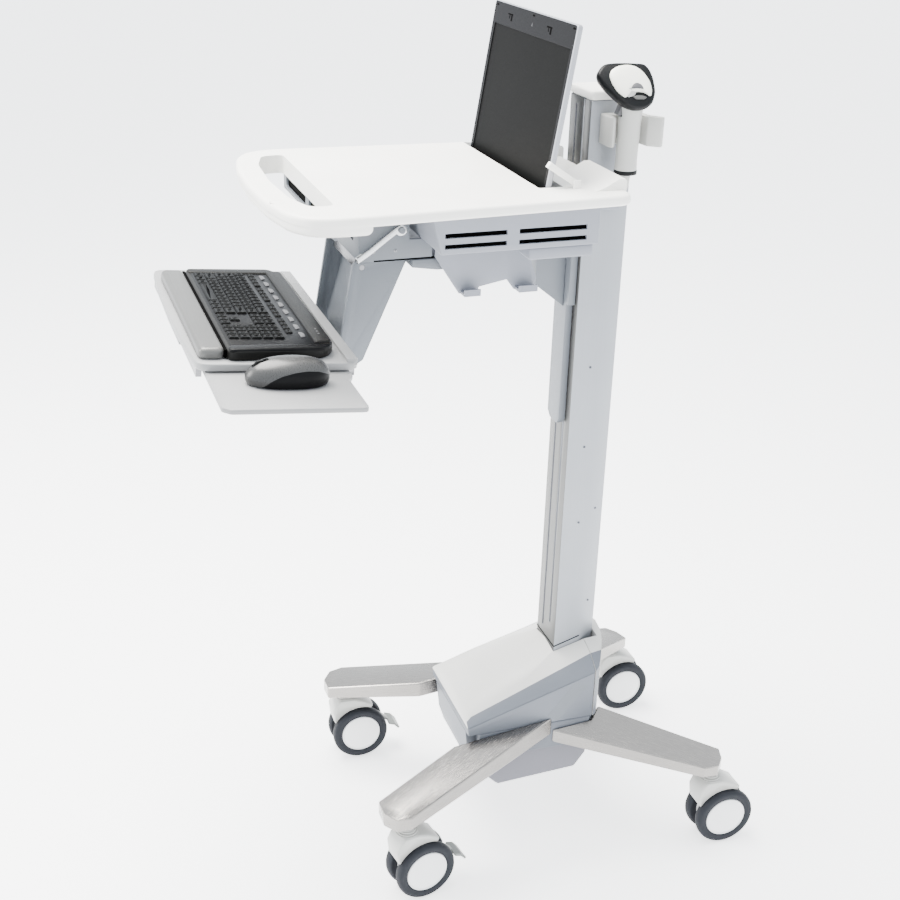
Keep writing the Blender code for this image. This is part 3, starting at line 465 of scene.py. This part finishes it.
def strip(name, points, width, material, body, depth=0.0006, up=(0, 0, 1)):
    """A thin flat ribbon along a path of design places: a drawn gap or seam."""
    mesh = bmesh.new()
    rows = []
    for i, point in enumerate(points):
        here = Vector(point)
        ahead = Vector(points[min(i + 1, len(points) - 1)]) - Vector(points[max(i - 1, 0)])
        across = ahead.cross(Vector(up)).normalized() * width / 2
        lift = Vector(up).normalized() * depth / 2
        rows.append([mesh.verts.new(here + a + b) for a, b in ((across, lift), (-across, lift), (-across, -lift), (across, -lift))])
    mesh.faces.new(rows[0])
    mesh.faces.new(rows[-1])
    for lower, upper in zip(rows, rows[1:]):
        for i in range(4):
            j = (i + 1) % 4
            mesh.faces.new((lower[i], lower[j], upper[j], upper[i]))
    bmesh.ops.recalc_face_normals(mesh, faces=mesh.faces)
    return piece(name, mesh, material, body)


SKIRT_SIDE = 0.0981
# a flat grey panel on each side of the skirt: painted shade in the recess by the leg's root
for side, label in ((1, "right"), (-1, "left")):
    window = [(0.0186, 0.2800), (0.0440, 0.2690), (-0.0095, 0.2050), (-0.0305, 0.2185)]
    low, high = sorted((side * (SKIRT_SIDE - 0.0012), side * SKIRT_SIDE))
    piece(f"skirt_opening_painted_shade_{label}", prism(filleted(window, 0.003), low, high, "x"), "arm", "root")


# ---------------------------------------------------------------- worksurface

DECK_LOW, DECK_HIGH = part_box("worksurface")
DECK_SHIFT = (DECK_LOW.x + DECK_HIGH.x) / 2 - ORIGIN.x
right = [(0.196, -0.0005), (0.2075, -0.200), (0.2190, -0.385), (0.2197, -0.440), (0.2080, -0.4745), (0.175, -0.4956),
         (0.100, -0.5086), (0.0, -0.5131)]
outline = [(x + DECK_SHIFT, y) for x, y in right + [(-x, y) for x, y in reversed(right)][1:]]
deck = piece("worksurface_shell", pillow(filleted(outline, 0.022, 6), 1.1466, 1.162, 0.0045, 0.006, 5), "white", "lift",
             ("worksurface",))
rim = [(x + DECK_SHIFT, y + 0.001) for x, y in right[2:] + [(-x, y) for x, y in reversed(right[2:])][1:]]
roll = moved(pillow(inset(filleted(rim, 0.014, 6), 0.0006), 1.1342, 1.1560, 0.009, 0.002, 6), Matrix.Identity(4))
carve(deck, roll, "UNION")
grip = [(-0.160, -0.457), (-0.105, -0.473), (0.0, -0.4785), (0.105, -0.473), (0.160, -0.457), (0.163, -0.423),
        (-0.163, -0.423)]
carve(deck, prism(filleted(grip, 0.012, 6), 1.10, 1.20))
carve(deck, prism(filleted([(-0.190, -0.118), (0.1375, -0.118), (0.1375, -0.080), (-0.190, -0.080)], 0.003), 1.10, 1.20))
raised = [(-0.050, 1.1590), (0.0, 1.1590), (0.0, 1.1745), (-0.0030, 1.1778), (-0.0120, 1.1778), (-0.0340, 1.1660),
          (-0.0450, 1.1624)]
for low, high in ((-0.175, -0.052), (0.052, 0.175)):
    carve(deck, prism(raised, low, high, "x"), "UNION")
carve(deck, block((0.1503, 0.1535), (-0.0715, -0.0605), (1.160, 1.174)), "UNION")
clip_pin, _ = local_frame("lid_clip")
carve(deck, turned([(0, -0.0055), (0.0018, -0.0055), (0.0018, 0.007), (0, 0.007)], (1, 0, 0), clip_pin - ORIGIN, 24),
      "UNION")
dimple = [(0, 1.1612), (0.0080, 1.1612), (0.0090, 1.1619), (0.0098, 1.1621), (0.0098, 1.1600), (0, 1.1600)]
piece("deck_button", turned(dimple, (0, 0, 1), (0.115 + DECK_SHIFT, -0.494, 0), 40), "cover", "lift")

# dark sheets behind the box's side vents: painted shade for the dim inside of the box
for side in (-1, 1):
    low, high = sorted((side * 0.1860, side * 0.1872))
    shade_sheet = block((low, high), (-0.270, -0.060), (1.0945, 1.1400), 0.0005, 1)
    piece(f"vent_painted_shade_{'right' if side > 0 else 'left'}", shade_sheet, "dark", "lift")

# screw heads on the underside frame
def screw(name, place, axis, material, body, radius=0.0038):
    """A button screw with a round socket."""
    axis = Vector(axis).normalized()
    head = [(0, -0.0010), (radius, -0.0010), (radius, 0.0002), (radius * 0.80, 0.0013), (radius * 0.50, 0.0017),
            (radius * 0.42, 0.0017), (radius * 0.42, 0.0006), (0, 0.0006)]
    return piece(name, turned(head, axis, place, 24), material, body)


for side in (-1, 1):
    for index, (y, z) in enumerate(((-0.350, 1.075), (-0.318, 1.075))):
        screw(f"frame_screw_{side}_{index}", (side * 0.0990, y, z), (side, 0, 0), "steel", "lift", 0.0030)


# the grip's back wall with its two pockets, dark sheets in the pockets as painted shade, and the shadow gap under the
# frame
wall = piece("grip_wall", block((-0.158, 0.158), (-0.4228, -0.4176), (1.1120, 1.1480), 0.0008, 2), "arm", "lift")
for low, high in ((-0.140, -0.010), (0.010, 0.140)):
    pocket = filleted([(low, 1.1180), (high, 1.1180), (high, 1.1380), (low, 1.1380)], 0.008, 4)
    carve(wall, prism(pocket, -0.43, -0.4190, "y"))
    shade_sheet = prism(inset(pocket, 0.0006), -0.4194, -0.4186, "y")
    piece(f"grip_pocket_painted_shade_{'left' if low < 0 else 'right'}", shade_sheet, "dark", "lift")
for side in (-1, 1):
    low, high = sorted((side * 0.0990, side * 0.1004))
    piece(f"frame_gap_{'right' if side > 0 else 'left'}", block((low, high), (-0.350, -0.150), (1.0600, 1.0622), 0.0004, 1),
          "dark", "lift")

# the seams round the column's foot
foot = [(-0.0385, 0.0), (0.0385, 0.0), (0.0385, 0.047), (0.022, 0.080), (-0.022, 0.080), (-0.0385, 0.047)]
for low, high, height in ((0, 1, 0.320), (1, 2, 0.3345), (5, 0, 0.3345)):
    a, b = Vector(foot[low]), Vector(foot[high])
    out = Vector(((b - a).y, -(b - a).x)).normalized() * 0.0004
    ends = [(a + out, 0.3195 if a.y < 0.01 else 0.3345), (b + out, 0.3195 if b.y < 0.01 else 0.3345)]
    strip(f"column_foot_seam_{low}", [(*p, z) for p, z in ends], 0.0016, "dark", "root", up=(out.x, out.y, 0))


# ---------------------------------------------------------------- laptop

lid_low, lid_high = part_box("laptop_lid")
hinge, _ = local_frame("laptop_lid")
LEAN = math.radians(8.7)
LID_X = (lid_low.x - ORIGIN.x, lid_high.x - ORIGIN.x)
LID_STAND = Matrix.Translation(Vector((0, hinge.y - ORIGIN.y, hinge.z - ORIGIN.z))) @ Matrix.Rotation(math.pi / 2 - LEAN, 4, "X")
FRONT = 0.0040          # the lid's front face, out from its middle plane


def on_lid(name, mesh, material):
    return piece(name, moved(mesh, LID_STAND), material, "laptop_lid")


def frame_of(outer, inner, low, high):
    """A flat frame between two upright rectangles (x0, x1, y0, y1)."""
    parts = []
    for x, y in (((outer[0], outer[1]), (outer[2], inner[2])), ((outer[0], outer[1]), (inner[3], outer[3])),
                 ((outer[0], inner[0]), (inner[2], inner[3])), ((inner[1], outer[1]), (inner[2], inner[3]))):
        parts.append(block(x, y, (low, high), 0.0004, 1))
    return joined(*parts)


left, right_side = LID_X
LID_LOW, LID_TOP = -0.004, 0.264
back_plan = filleted([(left, LID_LOW), (right_side, LID_LOW), (right_side, LID_TOP), (left, LID_TOP)], 0.007, 5)
rim = piece("lid_shell", moved(pillow(back_plan, -FRONT, FRONT, 0.0020, 0.0010, 3), LID_STAND), "case", "laptop_lid",
            ("laptop_lid",))
tub_plan = [(left + 0.0012, LID_LOW + 0.002), (right_side - 0.0032, LID_LOW + 0.002), (right_side - 0.0032, LID_TOP - 0.0016),
            (left + 0.0012, LID_TOP - 0.0016)]
carve(rim, moved(prism(filleted(tub_plan, 0.005, 4), 0.0005, 0.02), LID_STAND))
inner = (left + 0.0110, right_side - 0.0120, 0.030, 0.2300)
outer = (left + 0.0015, right_side - 0.0035, -0.001, 0.2620)
on_lid("screen_bezel", frame_of(outer, inner, 0.0006, FRONT - 0.0002), "bezel")
on_lid("screen_panel", block((inner[0] - 0.001, inner[1] + 0.001), (inner[2] - 0.001, inner[3] + 0.001),
                             (0.0006, FRONT - 0.0014), 0.0003, 1), "screen")
for index, share in enumerate((0.22, 0.70)):
    x = left + (right_side - left) * share
    hook = joined(block((x - 0.010, x + 0.010), (0.2475, 0.2500), (0, FRONT - 0.0001), 0.0004, 1),
                  block((x + 0.003, x + 0.009), (0.2390, 0.2500), (0, FRONT), 0.0006, 1),
                  block((x - 0.004, x - 0.001), (0.2420, 0.2480), (0, FRONT), 0.0006, 1))
    on_lid(f"latch_hook_{index}", hook, "dark")
middle = (left + right_side) / 2
on_lid("lid_camera", turned([(0, 0.0030), (0.0026, 0.0030), (0.0026, FRONT - 0.0001), (0, FRONT)], (0, 0, 1),
                            (middle, 0.2445, 0), 24), "glass")
for index, x in enumerate((left + 0.012, middle, right_side - 0.012)):
    on_lid(f"rubber_foot_{index}", block((x - 0.004, x + 0.004), (0.2560, 0.2590), (0, FRONT), 0.0005, 1), "dark")
for index, x in enumerate((left + 0.045, right_side - 0.045)):
    barrel = [(0, x - 0.016), (0.0034, x - 0.016), (0.0034, x + 0.016), (0, x + 0.016)]
    on_lid(f"hinge_barrel_{index}", turned(barrel, (1, 0, 0), (0, 0.0005, 0), 28), "bezel")


# ---------------------------------------------------------------- keyboard, wrist rest and mouse

tray_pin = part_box("tray_pivot_pin")
TRAY_TILT = math.radians(5.1)
TRAY_FRONT = (-0.634, 0.977)
TRAY = Matrix.Translation((0, *TRAY_FRONT)) @ Matrix.Rotation(-TRAY_TILT, 4, "X")


def on_tray(name, mesh, material, body="keyboard_tray", replaces=()):
    return piece(name, moved(mesh, TRAY), material, body, replaces)


plan = [(-0.172, 0.050), (0.214, 0.050), (0.206, 0.186), (0.180, 0.204), (-0.160, 0.204), (-0.176, 0.186)]
on_tray("keyboard_case", pillow(filleted(plan, 0.014, 6), 0.0006, 0.0150, 0.003, 0.003, 4), "deck_key", replaces=("keyboard",))
field = [(-0.150, 0.056), (0.192, 0.056), (0.187, 0.182), (-0.146, 0.182)]
on_tray("key_well", pillow(filleted(field, 0.004, 3), 0.0140, 0.0156, 0.0005, 0.0006, 2), "black")
end_cap = [(0.1935, 0.052), (0.2130, 0.052), (0.2060, 0.182), (0.1895, 0.200), (0.1890, 0.120)]
on_tray("keyboard_end_right", pillow(filleted(end_cap, 0.008, 5), 0.0120, 0.0172, 0.001, 0.0035, 4), "black")
end_left = [(-0.1715, 0.052), (-0.1520, 0.052), (-0.1480, 0.120), (-0.1490, 0.200), (-0.1740, 0.184)]
on_tray("keyboard_end_left", pillow(filleted(end_left, 0.008, 5), 0.0120, 0.0172, 0.001, 0.0035, 4), "deck_key")


def key(x, y, wide, deep, tall=0.0185):
    """One key: a cap that narrows to a dished top."""
    gap = 0.0007
    base = filleted([(x + gap, y + gap), (x + wide - gap, y + gap), (x + wide - gap, y + deep - gap), (x + gap, y + deep - gap)],
                    0.0012, 2)
    top = inset(base, 0.0014)
    rings = [[(a, b, 0.0152) for a, b in base], [(a, b, 0.0164) for a, b in base], [(a, b, tall - 0.0004) for a, b in top],
             [(a, b, tall) for a, b in inset(top, 0.0005)], [(a, b, tall - 0.0004) for a, b in inset(top, 0.0030)]]
    return lofted(rings)


UNIT = 0.0146
ROWS = (
    (0.0590, (1.5, 1.25, 1.25, 5.9, 1.25, 1.25, 1.5)),
    (0.0750, (2.25, 1, 1, 1, 1, 1, 1, 1, 1, 1, 1, 1.65)),
    (0.0910, (1.75, 1, 1, 1, 1, 1, 1, 1, 1, 1, 1, 2.15)),
    (0.1070, (1.5, 1, 1, 1, 1, 1, 1, 1, 1, 1, 1, 1, 1.4)),
    (0.1230, (1, 1, 1, 1, 1, 1, 1, 1, 1, 1, 1, 1, 1.9)),
)
keys = []
for y, widths in ROWS:
    x = -0.1470
    for share in widths:
        keys.append(key(x, y, share * UNIT, 0.0156))
        x += share * UNIT
MAIN_END = -0.1470 + 13.9 * UNIT
for row, y in enumerate((0.0590, 0.0750)):
    for column in range(3):
        if row == 0 or column == 1:
            keys.append(key(MAIN_END + 0.0045 + column * UNIT, y, UNIT, 0.0156))
for y in (0.1070, 0.1230):
    for column in range(3):
        keys.append(key(MAIN_END + 0.0045 + column * UNIT, y, UNIT, 0.0156))
PAD = MAIN_END + 0.0045 + 3 * UNIT + 0.0040
for row, y in enumerate((0.0590, 0.0750, 0.0910, 0.1070, 0.1230)):
    for column in range(4):
        keys.append(key(PAD + column * UNIT, y, UNIT, 0.0156))
on_tray("keys", joined(*keys), "key")
function_keys = []
for group in range(4):
    for column in range(4):
        function_keys.append(key(-0.1440 + group * 0.0740 + column * 0.0165, 0.1440, 0.0152, 0.0110, 0.0176))
on_tray("function_keys", joined(*function_keys), "key")
media = []
for column in range(9):
    x = -0.1380 + column * 0.0345
    media.append(pillow(filleted([(x, 0.1620), (x + 0.0220, 0.1620), (x + 0.0190, 0.1690), (x + 0.0030, 0.1690)], 0.003, 3),
                        0.0150, 0.0168, 0.0004, 0.0010, 2))
on_tray("media_keys", joined(*media), "trigger")
brow = [(-0.156, 0.176), (0.184, 0.176), (0.178, 0.2015), (-0.158, 0.2015)]
on_tray("keyboard_brow", pillow(filleted(brow, 0.008, 5), 0.0140, 0.0182, 0.001, 0.0030, 4), "deck_key")
lights = joined(*[turned([(0, 0.0180), (0.0016, 0.0180), (0.0014, 0.0186), (0, 0.0187)], (0, 0, 1), (x, 0.1890, 0), 16)
                  for x in (0.130, 0.140, 0.150)])
on_tray("keyboard_lights", lights, "trigger")

rest = [(-0.170, 0.012), (0.206, 0.012), (0.206, 0.0475), (-0.170, 0.0475)]
on_tray("wrist_rest_pad", pillow(filleted(rest, 0.012, 6), 0.0006, 0.0160, 0.003, 0.0075, 6), "silver",
        replaces=("wrist_rest",))
seam = pillow(filleted([(-0.168, 0.0462), (0.204, 0.0462), (0.204, 0.0505), (-0.168, 0.0505)], 0.001, 2), 0.002, 0.0135,
              0.0004, 0.0004, 1)
on_tray("wrist_rest_seam", seam, "dark")

MOUSE_X, MOUSE_DEPTH, MOUSE_LOW = 0.262, 0.121, -0.0126
SIDES = 56


def mouse_ring(height, half_width, half_length, back, waist=0.0):
    """One level of the mouse: an oval, pinched at the waist, that sits back from the middle."""
    ring = []
    for i in range(SIDES):
        a = 2 * math.pi * i / SIDES
        pinch = 1 - waist * (1 - abs(math.sin(a))) ** 2
        ring.append((MOUSE_X + half_width * math.cos(a) * pinch, MOUSE_DEPTH + back + half_length * math.sin(a), MOUSE_LOW + height))
    return ring


LEVELS = ((0.000, 0.0270, 0.0530, 0.000), (0.0015, 0.0290, 0.0550, 0.000), (0.004, 0.0305, 0.0565, 0.000),
          (0.008, 0.0310, 0.0573, 0.000), (0.012, 0.0308, 0.0572, 0.000), (0.017, 0.0298, 0.0556, 0.001),
          (0.022, 0.0279, 0.0528, 0.002), (0.026, 0.0250, 0.0490, 0.003), (0.030, 0.0209, 0.0438, 0.004),
          (0.033, 0.0166, 0.0370, 0.005), (0.035, 0.0128, 0.0298, 0.006), (0.0364, 0.0085, 0.0205, 0.007),
          (0.037, 0.0040, 0.0100, 0.008))
body_skin = lofted([mouse_ring(h + 0.0002 if h < 0.02 else h - 0.0010, w - 0.0004, l - 0.0004, b, 0.06 if h < 0.022 else 0.0)
                    for h, w, l, b in LEVELS[:-4]])
on_tray("mouse_sides", body_skin, "black", "mouse")
shell = lofted([mouse_ring(h, w, l, b, 0.05 if h < 0.022 else 0.0) for h, w, l, b in LEVELS])
mouse_piece = on_tray("mouse_crown", shell, "crown", "mouse", ("mouse",))
crown_line = [(-0.070, -0.002), (-0.0420, -0.002), (-0.0360, 0.004), (-0.0270, 0.0120), (-0.0140, 0.0190), (0.0020, 0.0235),
              (0.0200, 0.0250), (0.0370, 0.0232), (0.0500, 0.0180), (0.0600, 0.0110), (0.0700, 0.0100), (0.0700, 0.0600),
              (-0.070, 0.0600)]
crown = prism([(MOUSE_DEPTH + y, MOUSE_LOW + z) for y, z in filleted(crown_line, 0.004, 3)], MOUSE_X - 0.05, MOUSE_X + 0.05, "x")
carve(mouse_piece, moved(crown, TRAY), "INTERSECT")
wheel_at = MOUSE_DEPTH - 0.038
carve(mouse_piece, moved(block((MOUSE_X - 0.0045, MOUSE_X + 0.0045), (wheel_at - 0.011, wheel_at + 0.011),
                               (MOUSE_LOW + 0.013, 0.05), 0.002, 3), TRAY))
centre, axis = local_frame("mouse_wheel")
tread = [(0, -0.003), (0.0072, -0.003), (0.0082, -0.0024), (0.0085, -0.0012), (0.0085, 0.0012), (0.0082, 0.0024),
         (0.0072, 0.003), (0, 0.003)]
piece("mouse_wheel_tread", turned(tread, axis, centre, 40), "black", "mouse_wheel", ("mouse_wheel",), local=False)


# ---------------------------------------------------------------- scanner

AXIS = local_frame("scanner_trigger")[0] - ORIGIN
SX, SY = 0.0735, 0.046
handle = [(0, 1.137), (0.0050, 1.137), (0.0062, 1.142), (0.0085, 1.160), (0.0158, 1.1610), (0.0165, 1.1625), (0.0165, 1.172),
          (0.0160, 1.180), (0.0165, 1.208), (0.0170, 1.235), (0.0182, 1.250), (0.0198, 1.262), (0.0190, 1.272),
          (0.0150, 1.282), (0, 1.282)]
gun = piece("scanner_handle", turned(handle, (0, 0, 1), (SX, SY, 0), 48), "cream", "scanner", ("scanner",))
carve(gun, block((SX - 0.008, SX + 0.008), (0.0200, 0.0370), (1.2450, 1.2640), 0.001, 2))
FACING = Vector((0.80, -0.12, 0.59)).normalized()
UP = (Vector((0, 0, 1)) - FACING * FACING.z).normalized()
HEAD = Matrix.Translation((0.080, 0.032, 1.283)) @ Matrix((UP.cross(FACING), UP, FACING)).transposed().to_4x4()
HOOD = [(-0.044, 0.020), (-0.032, 0.037), (-0.016, 0.039), (0.004, 0.039), (0.022, 0.038), (0.031, 0.037),
        (0.038, 0.028), (0.042, 0.014), (0.043, -0.008), (0.037, -0.024), (0.026, -0.032), (0.010, -0.033),
        (-0.004, -0.027), (-0.020, -0.012), (-0.034, 0.004)]
FACE = [(-0.025, 0.016), (-0.022, 0.025), (-0.011, 0.032), (0.005, 0.034), (0.018, 0.030), (0.028, 0.020),
        (0.035, 0.006), (0.036, -0.008), (0.033, -0.017), (0.025, -0.010), (0.012, -0.008), (0.002, -0.012),
        (-0.005, -0.018), (-0.016, -0.008), (-0.022, 0.004)]


def on_head(name, mesh, material):
    return piece(name, moved(mesh, HEAD), material, "scanner")


def scaled(outline, share, centre=(0.002, 0.003)):
    return [(centre[0] + (x - centre[0]) * share, centre[1] + (y - centre[1]) * share) for x, y in outline]


hood = filleted(HOOD, 0.007, 4)
levels = ((-0.0190, 0.42), (-0.0175, 0.60), (-0.0120, 0.80), (-0.0050, 0.93), (0.0010, 0.985), (0.0050, 1.0), (0.0085, 0.985),
          (0.0108, 0.950), (0.0118, 0.900))
on_head("scanner_hood", lofted([[(x, y, h) for x, y in scaled(hood, share)] for h, share in levels]), "charcoal")
face = filleted(FACE, 0.005, 4)
levels = ((0.0100, 1.0), (0.0122, 1.0), (0.0132, 0.985), (0.0146, 0.93), (0.0160, 0.80), (0.0172, 0.60), (0.0178, 0.40),
          (0.0181, 0.20))
on_head("scanner_face", lofted([[(x, y, h) for x, y in scaled(face, share)] for h, share in levels]), "face")
moon = filleted([(0.0030, -0.0060), (0.0070, 0.0010), (0.0130, 0.0034), (0.0195, 0.0000), (0.0228, -0.0072), (0.0130, -0.0052)],
                0.003, 3)
on_head("scanner_button", pillow(moon, 0.0140, 0.0186, 0.0005, 0.0010, 2), "trigger")
window = filleted([(0.0060, -0.0160), (0.0120, -0.0142), (0.0210, -0.0146), (0.0275, -0.0175), (0.0230, -0.0205),
                   (0.0110, -0.0205)], 0.002, 3)
on_head("scanner_light", pillow(window, 0.0090, 0.0136, 0.0005, 0.0008, 2), "silver")
throat = [(0, -0.0160), (0.0195, -0.0160), (0.0180, -0.0040), (0, -0.0040)]
on_head("scanner_throat", turned(throat, (0.25, -0.9, -0.35), (0.004, -0.0130, -0.0060), 40), "cream")
collar_ring = [(0, 1.1600), (0.0169, 1.1600), (0.0172, 1.1612), (0.0172, 1.1650), (0.0169, 1.1662), (0, 1.1662)]
piece("scanner_cord_collar", turned(collar_ring, (0, 0, 1), (SX, SY, 0), 40), "charcoal", "scanner")


# ---------------------------------------------------------------- column

for index, z in enumerate((0.560, 0.700, 0.840)):
    screw(f"column_screw_{index}", (0.0385, 0.030, z), (1, 0, 0), "hub", "root", 0.0020)
for index, z in enumerate((0.40, 0.58)):
    screw(f"chamfer_screw_{index}", (0.0310, 0.0618, z), (0.895, 0.447, 0), "hub", "root", 0.0020)


# ---------------------------------------------------------------- room, light and camera

floor = bmesh.new()
bmesh.ops.create_grid(floor, x_segments=1, y_segments=1, size=60)
floor_data = bpy.data.meshes.new("floor")
floor.to_mesh(floor_data)
ground = bpy.data.objects.new("floor", floor_data)
bpy.context.scene.collection.objects.link(ground)
ground.location.z = -0.0005
floor_data.materials.append(finish("floor", (0.93, 0.93, 0.93), 0.75, grain=(40, 40, 40), bump=0.0, mottle=0.004))
floor_data.materials[0].node_tree.nodes["Principled BSDF"].inputs["Emission Color"].default_value = (1, 1, 1, 1)
floor_data.materials[0].node_tree.nodes["Principled BSDF"].inputs["Emission Strength"].default_value = 1.9

world = bpy.data.worlds.new("studio")
world.use_nodes = True
world.node_tree.nodes["Background"].inputs["Color"].default_value = (0.90, 0.95, 1.0, 1)
world.node_tree.nodes["Background"].inputs["Strength"].default_value = 2.5
bpy.context.scene.world = world


def softbox(name, place, target, size, power, colour=(1, 1, 1)):
    """An area light that faces a target."""
    light = bpy.data.lights.new(name, "AREA")
    light.shape, light.size, light.energy, light.color = "DISK", size, power, colour
    thing = bpy.data.objects.new(name, light)
    thing.location = place
    thing.rotation_mode = "QUATERNION"
    thing.rotation_quaternion = (Vector(target) - Vector(place)).to_track_quat("-Z", "Y")
    bpy.context.scene.collection.objects.link(thing)


softbox("top", (-0.6, -0.7, 3.2), (0, 0, 0.7), 2.2, 380, (1.0, 0.975, 0.93))
softbox("front_left", (-0.9, -3.0, 2.0), (0, 0, 0.8), 1.6, 90, (1.0, 0.985, 0.96))

VIEW_AZIMUTH, VIEW_HEIGHT, ROLL = math.radians(73.023), math.radians(24.379), math.radians(0.743)
back = Vector((math.sin(VIEW_AZIMUTH) * math.cos(VIEW_HEIGHT), -math.cos(VIEW_AZIMUTH) * math.cos(VIEW_HEIGHT), math.sin(VIEW_HEIGHT)))
across = (-back).cross(Vector((0, 0, 1))).normalized()
above = across.cross(-back)
turned_across = across * math.cos(ROLL) + above * math.sin(ROLL)
turned_above = above * math.cos(ROLL) - across * math.sin(ROLL)
lens = bpy.data.cameras.new("camera")
lens.lens, lens.sensor_width, lens.shift_x, lens.shift_y = 54.75, 36.0, 0.061, 0.0016
camera = bpy.data.objects.new("camera", lens)
place = spot(1.9165, -0.8691, 1.6204)
camera.matrix_world = Matrix.Translation(place) @ Matrix((turned_across, turned_above, back)).transposed().to_4x4()
bpy.context.scene.collection.objects.link(camera)
bpy.context.scene.camera = camera
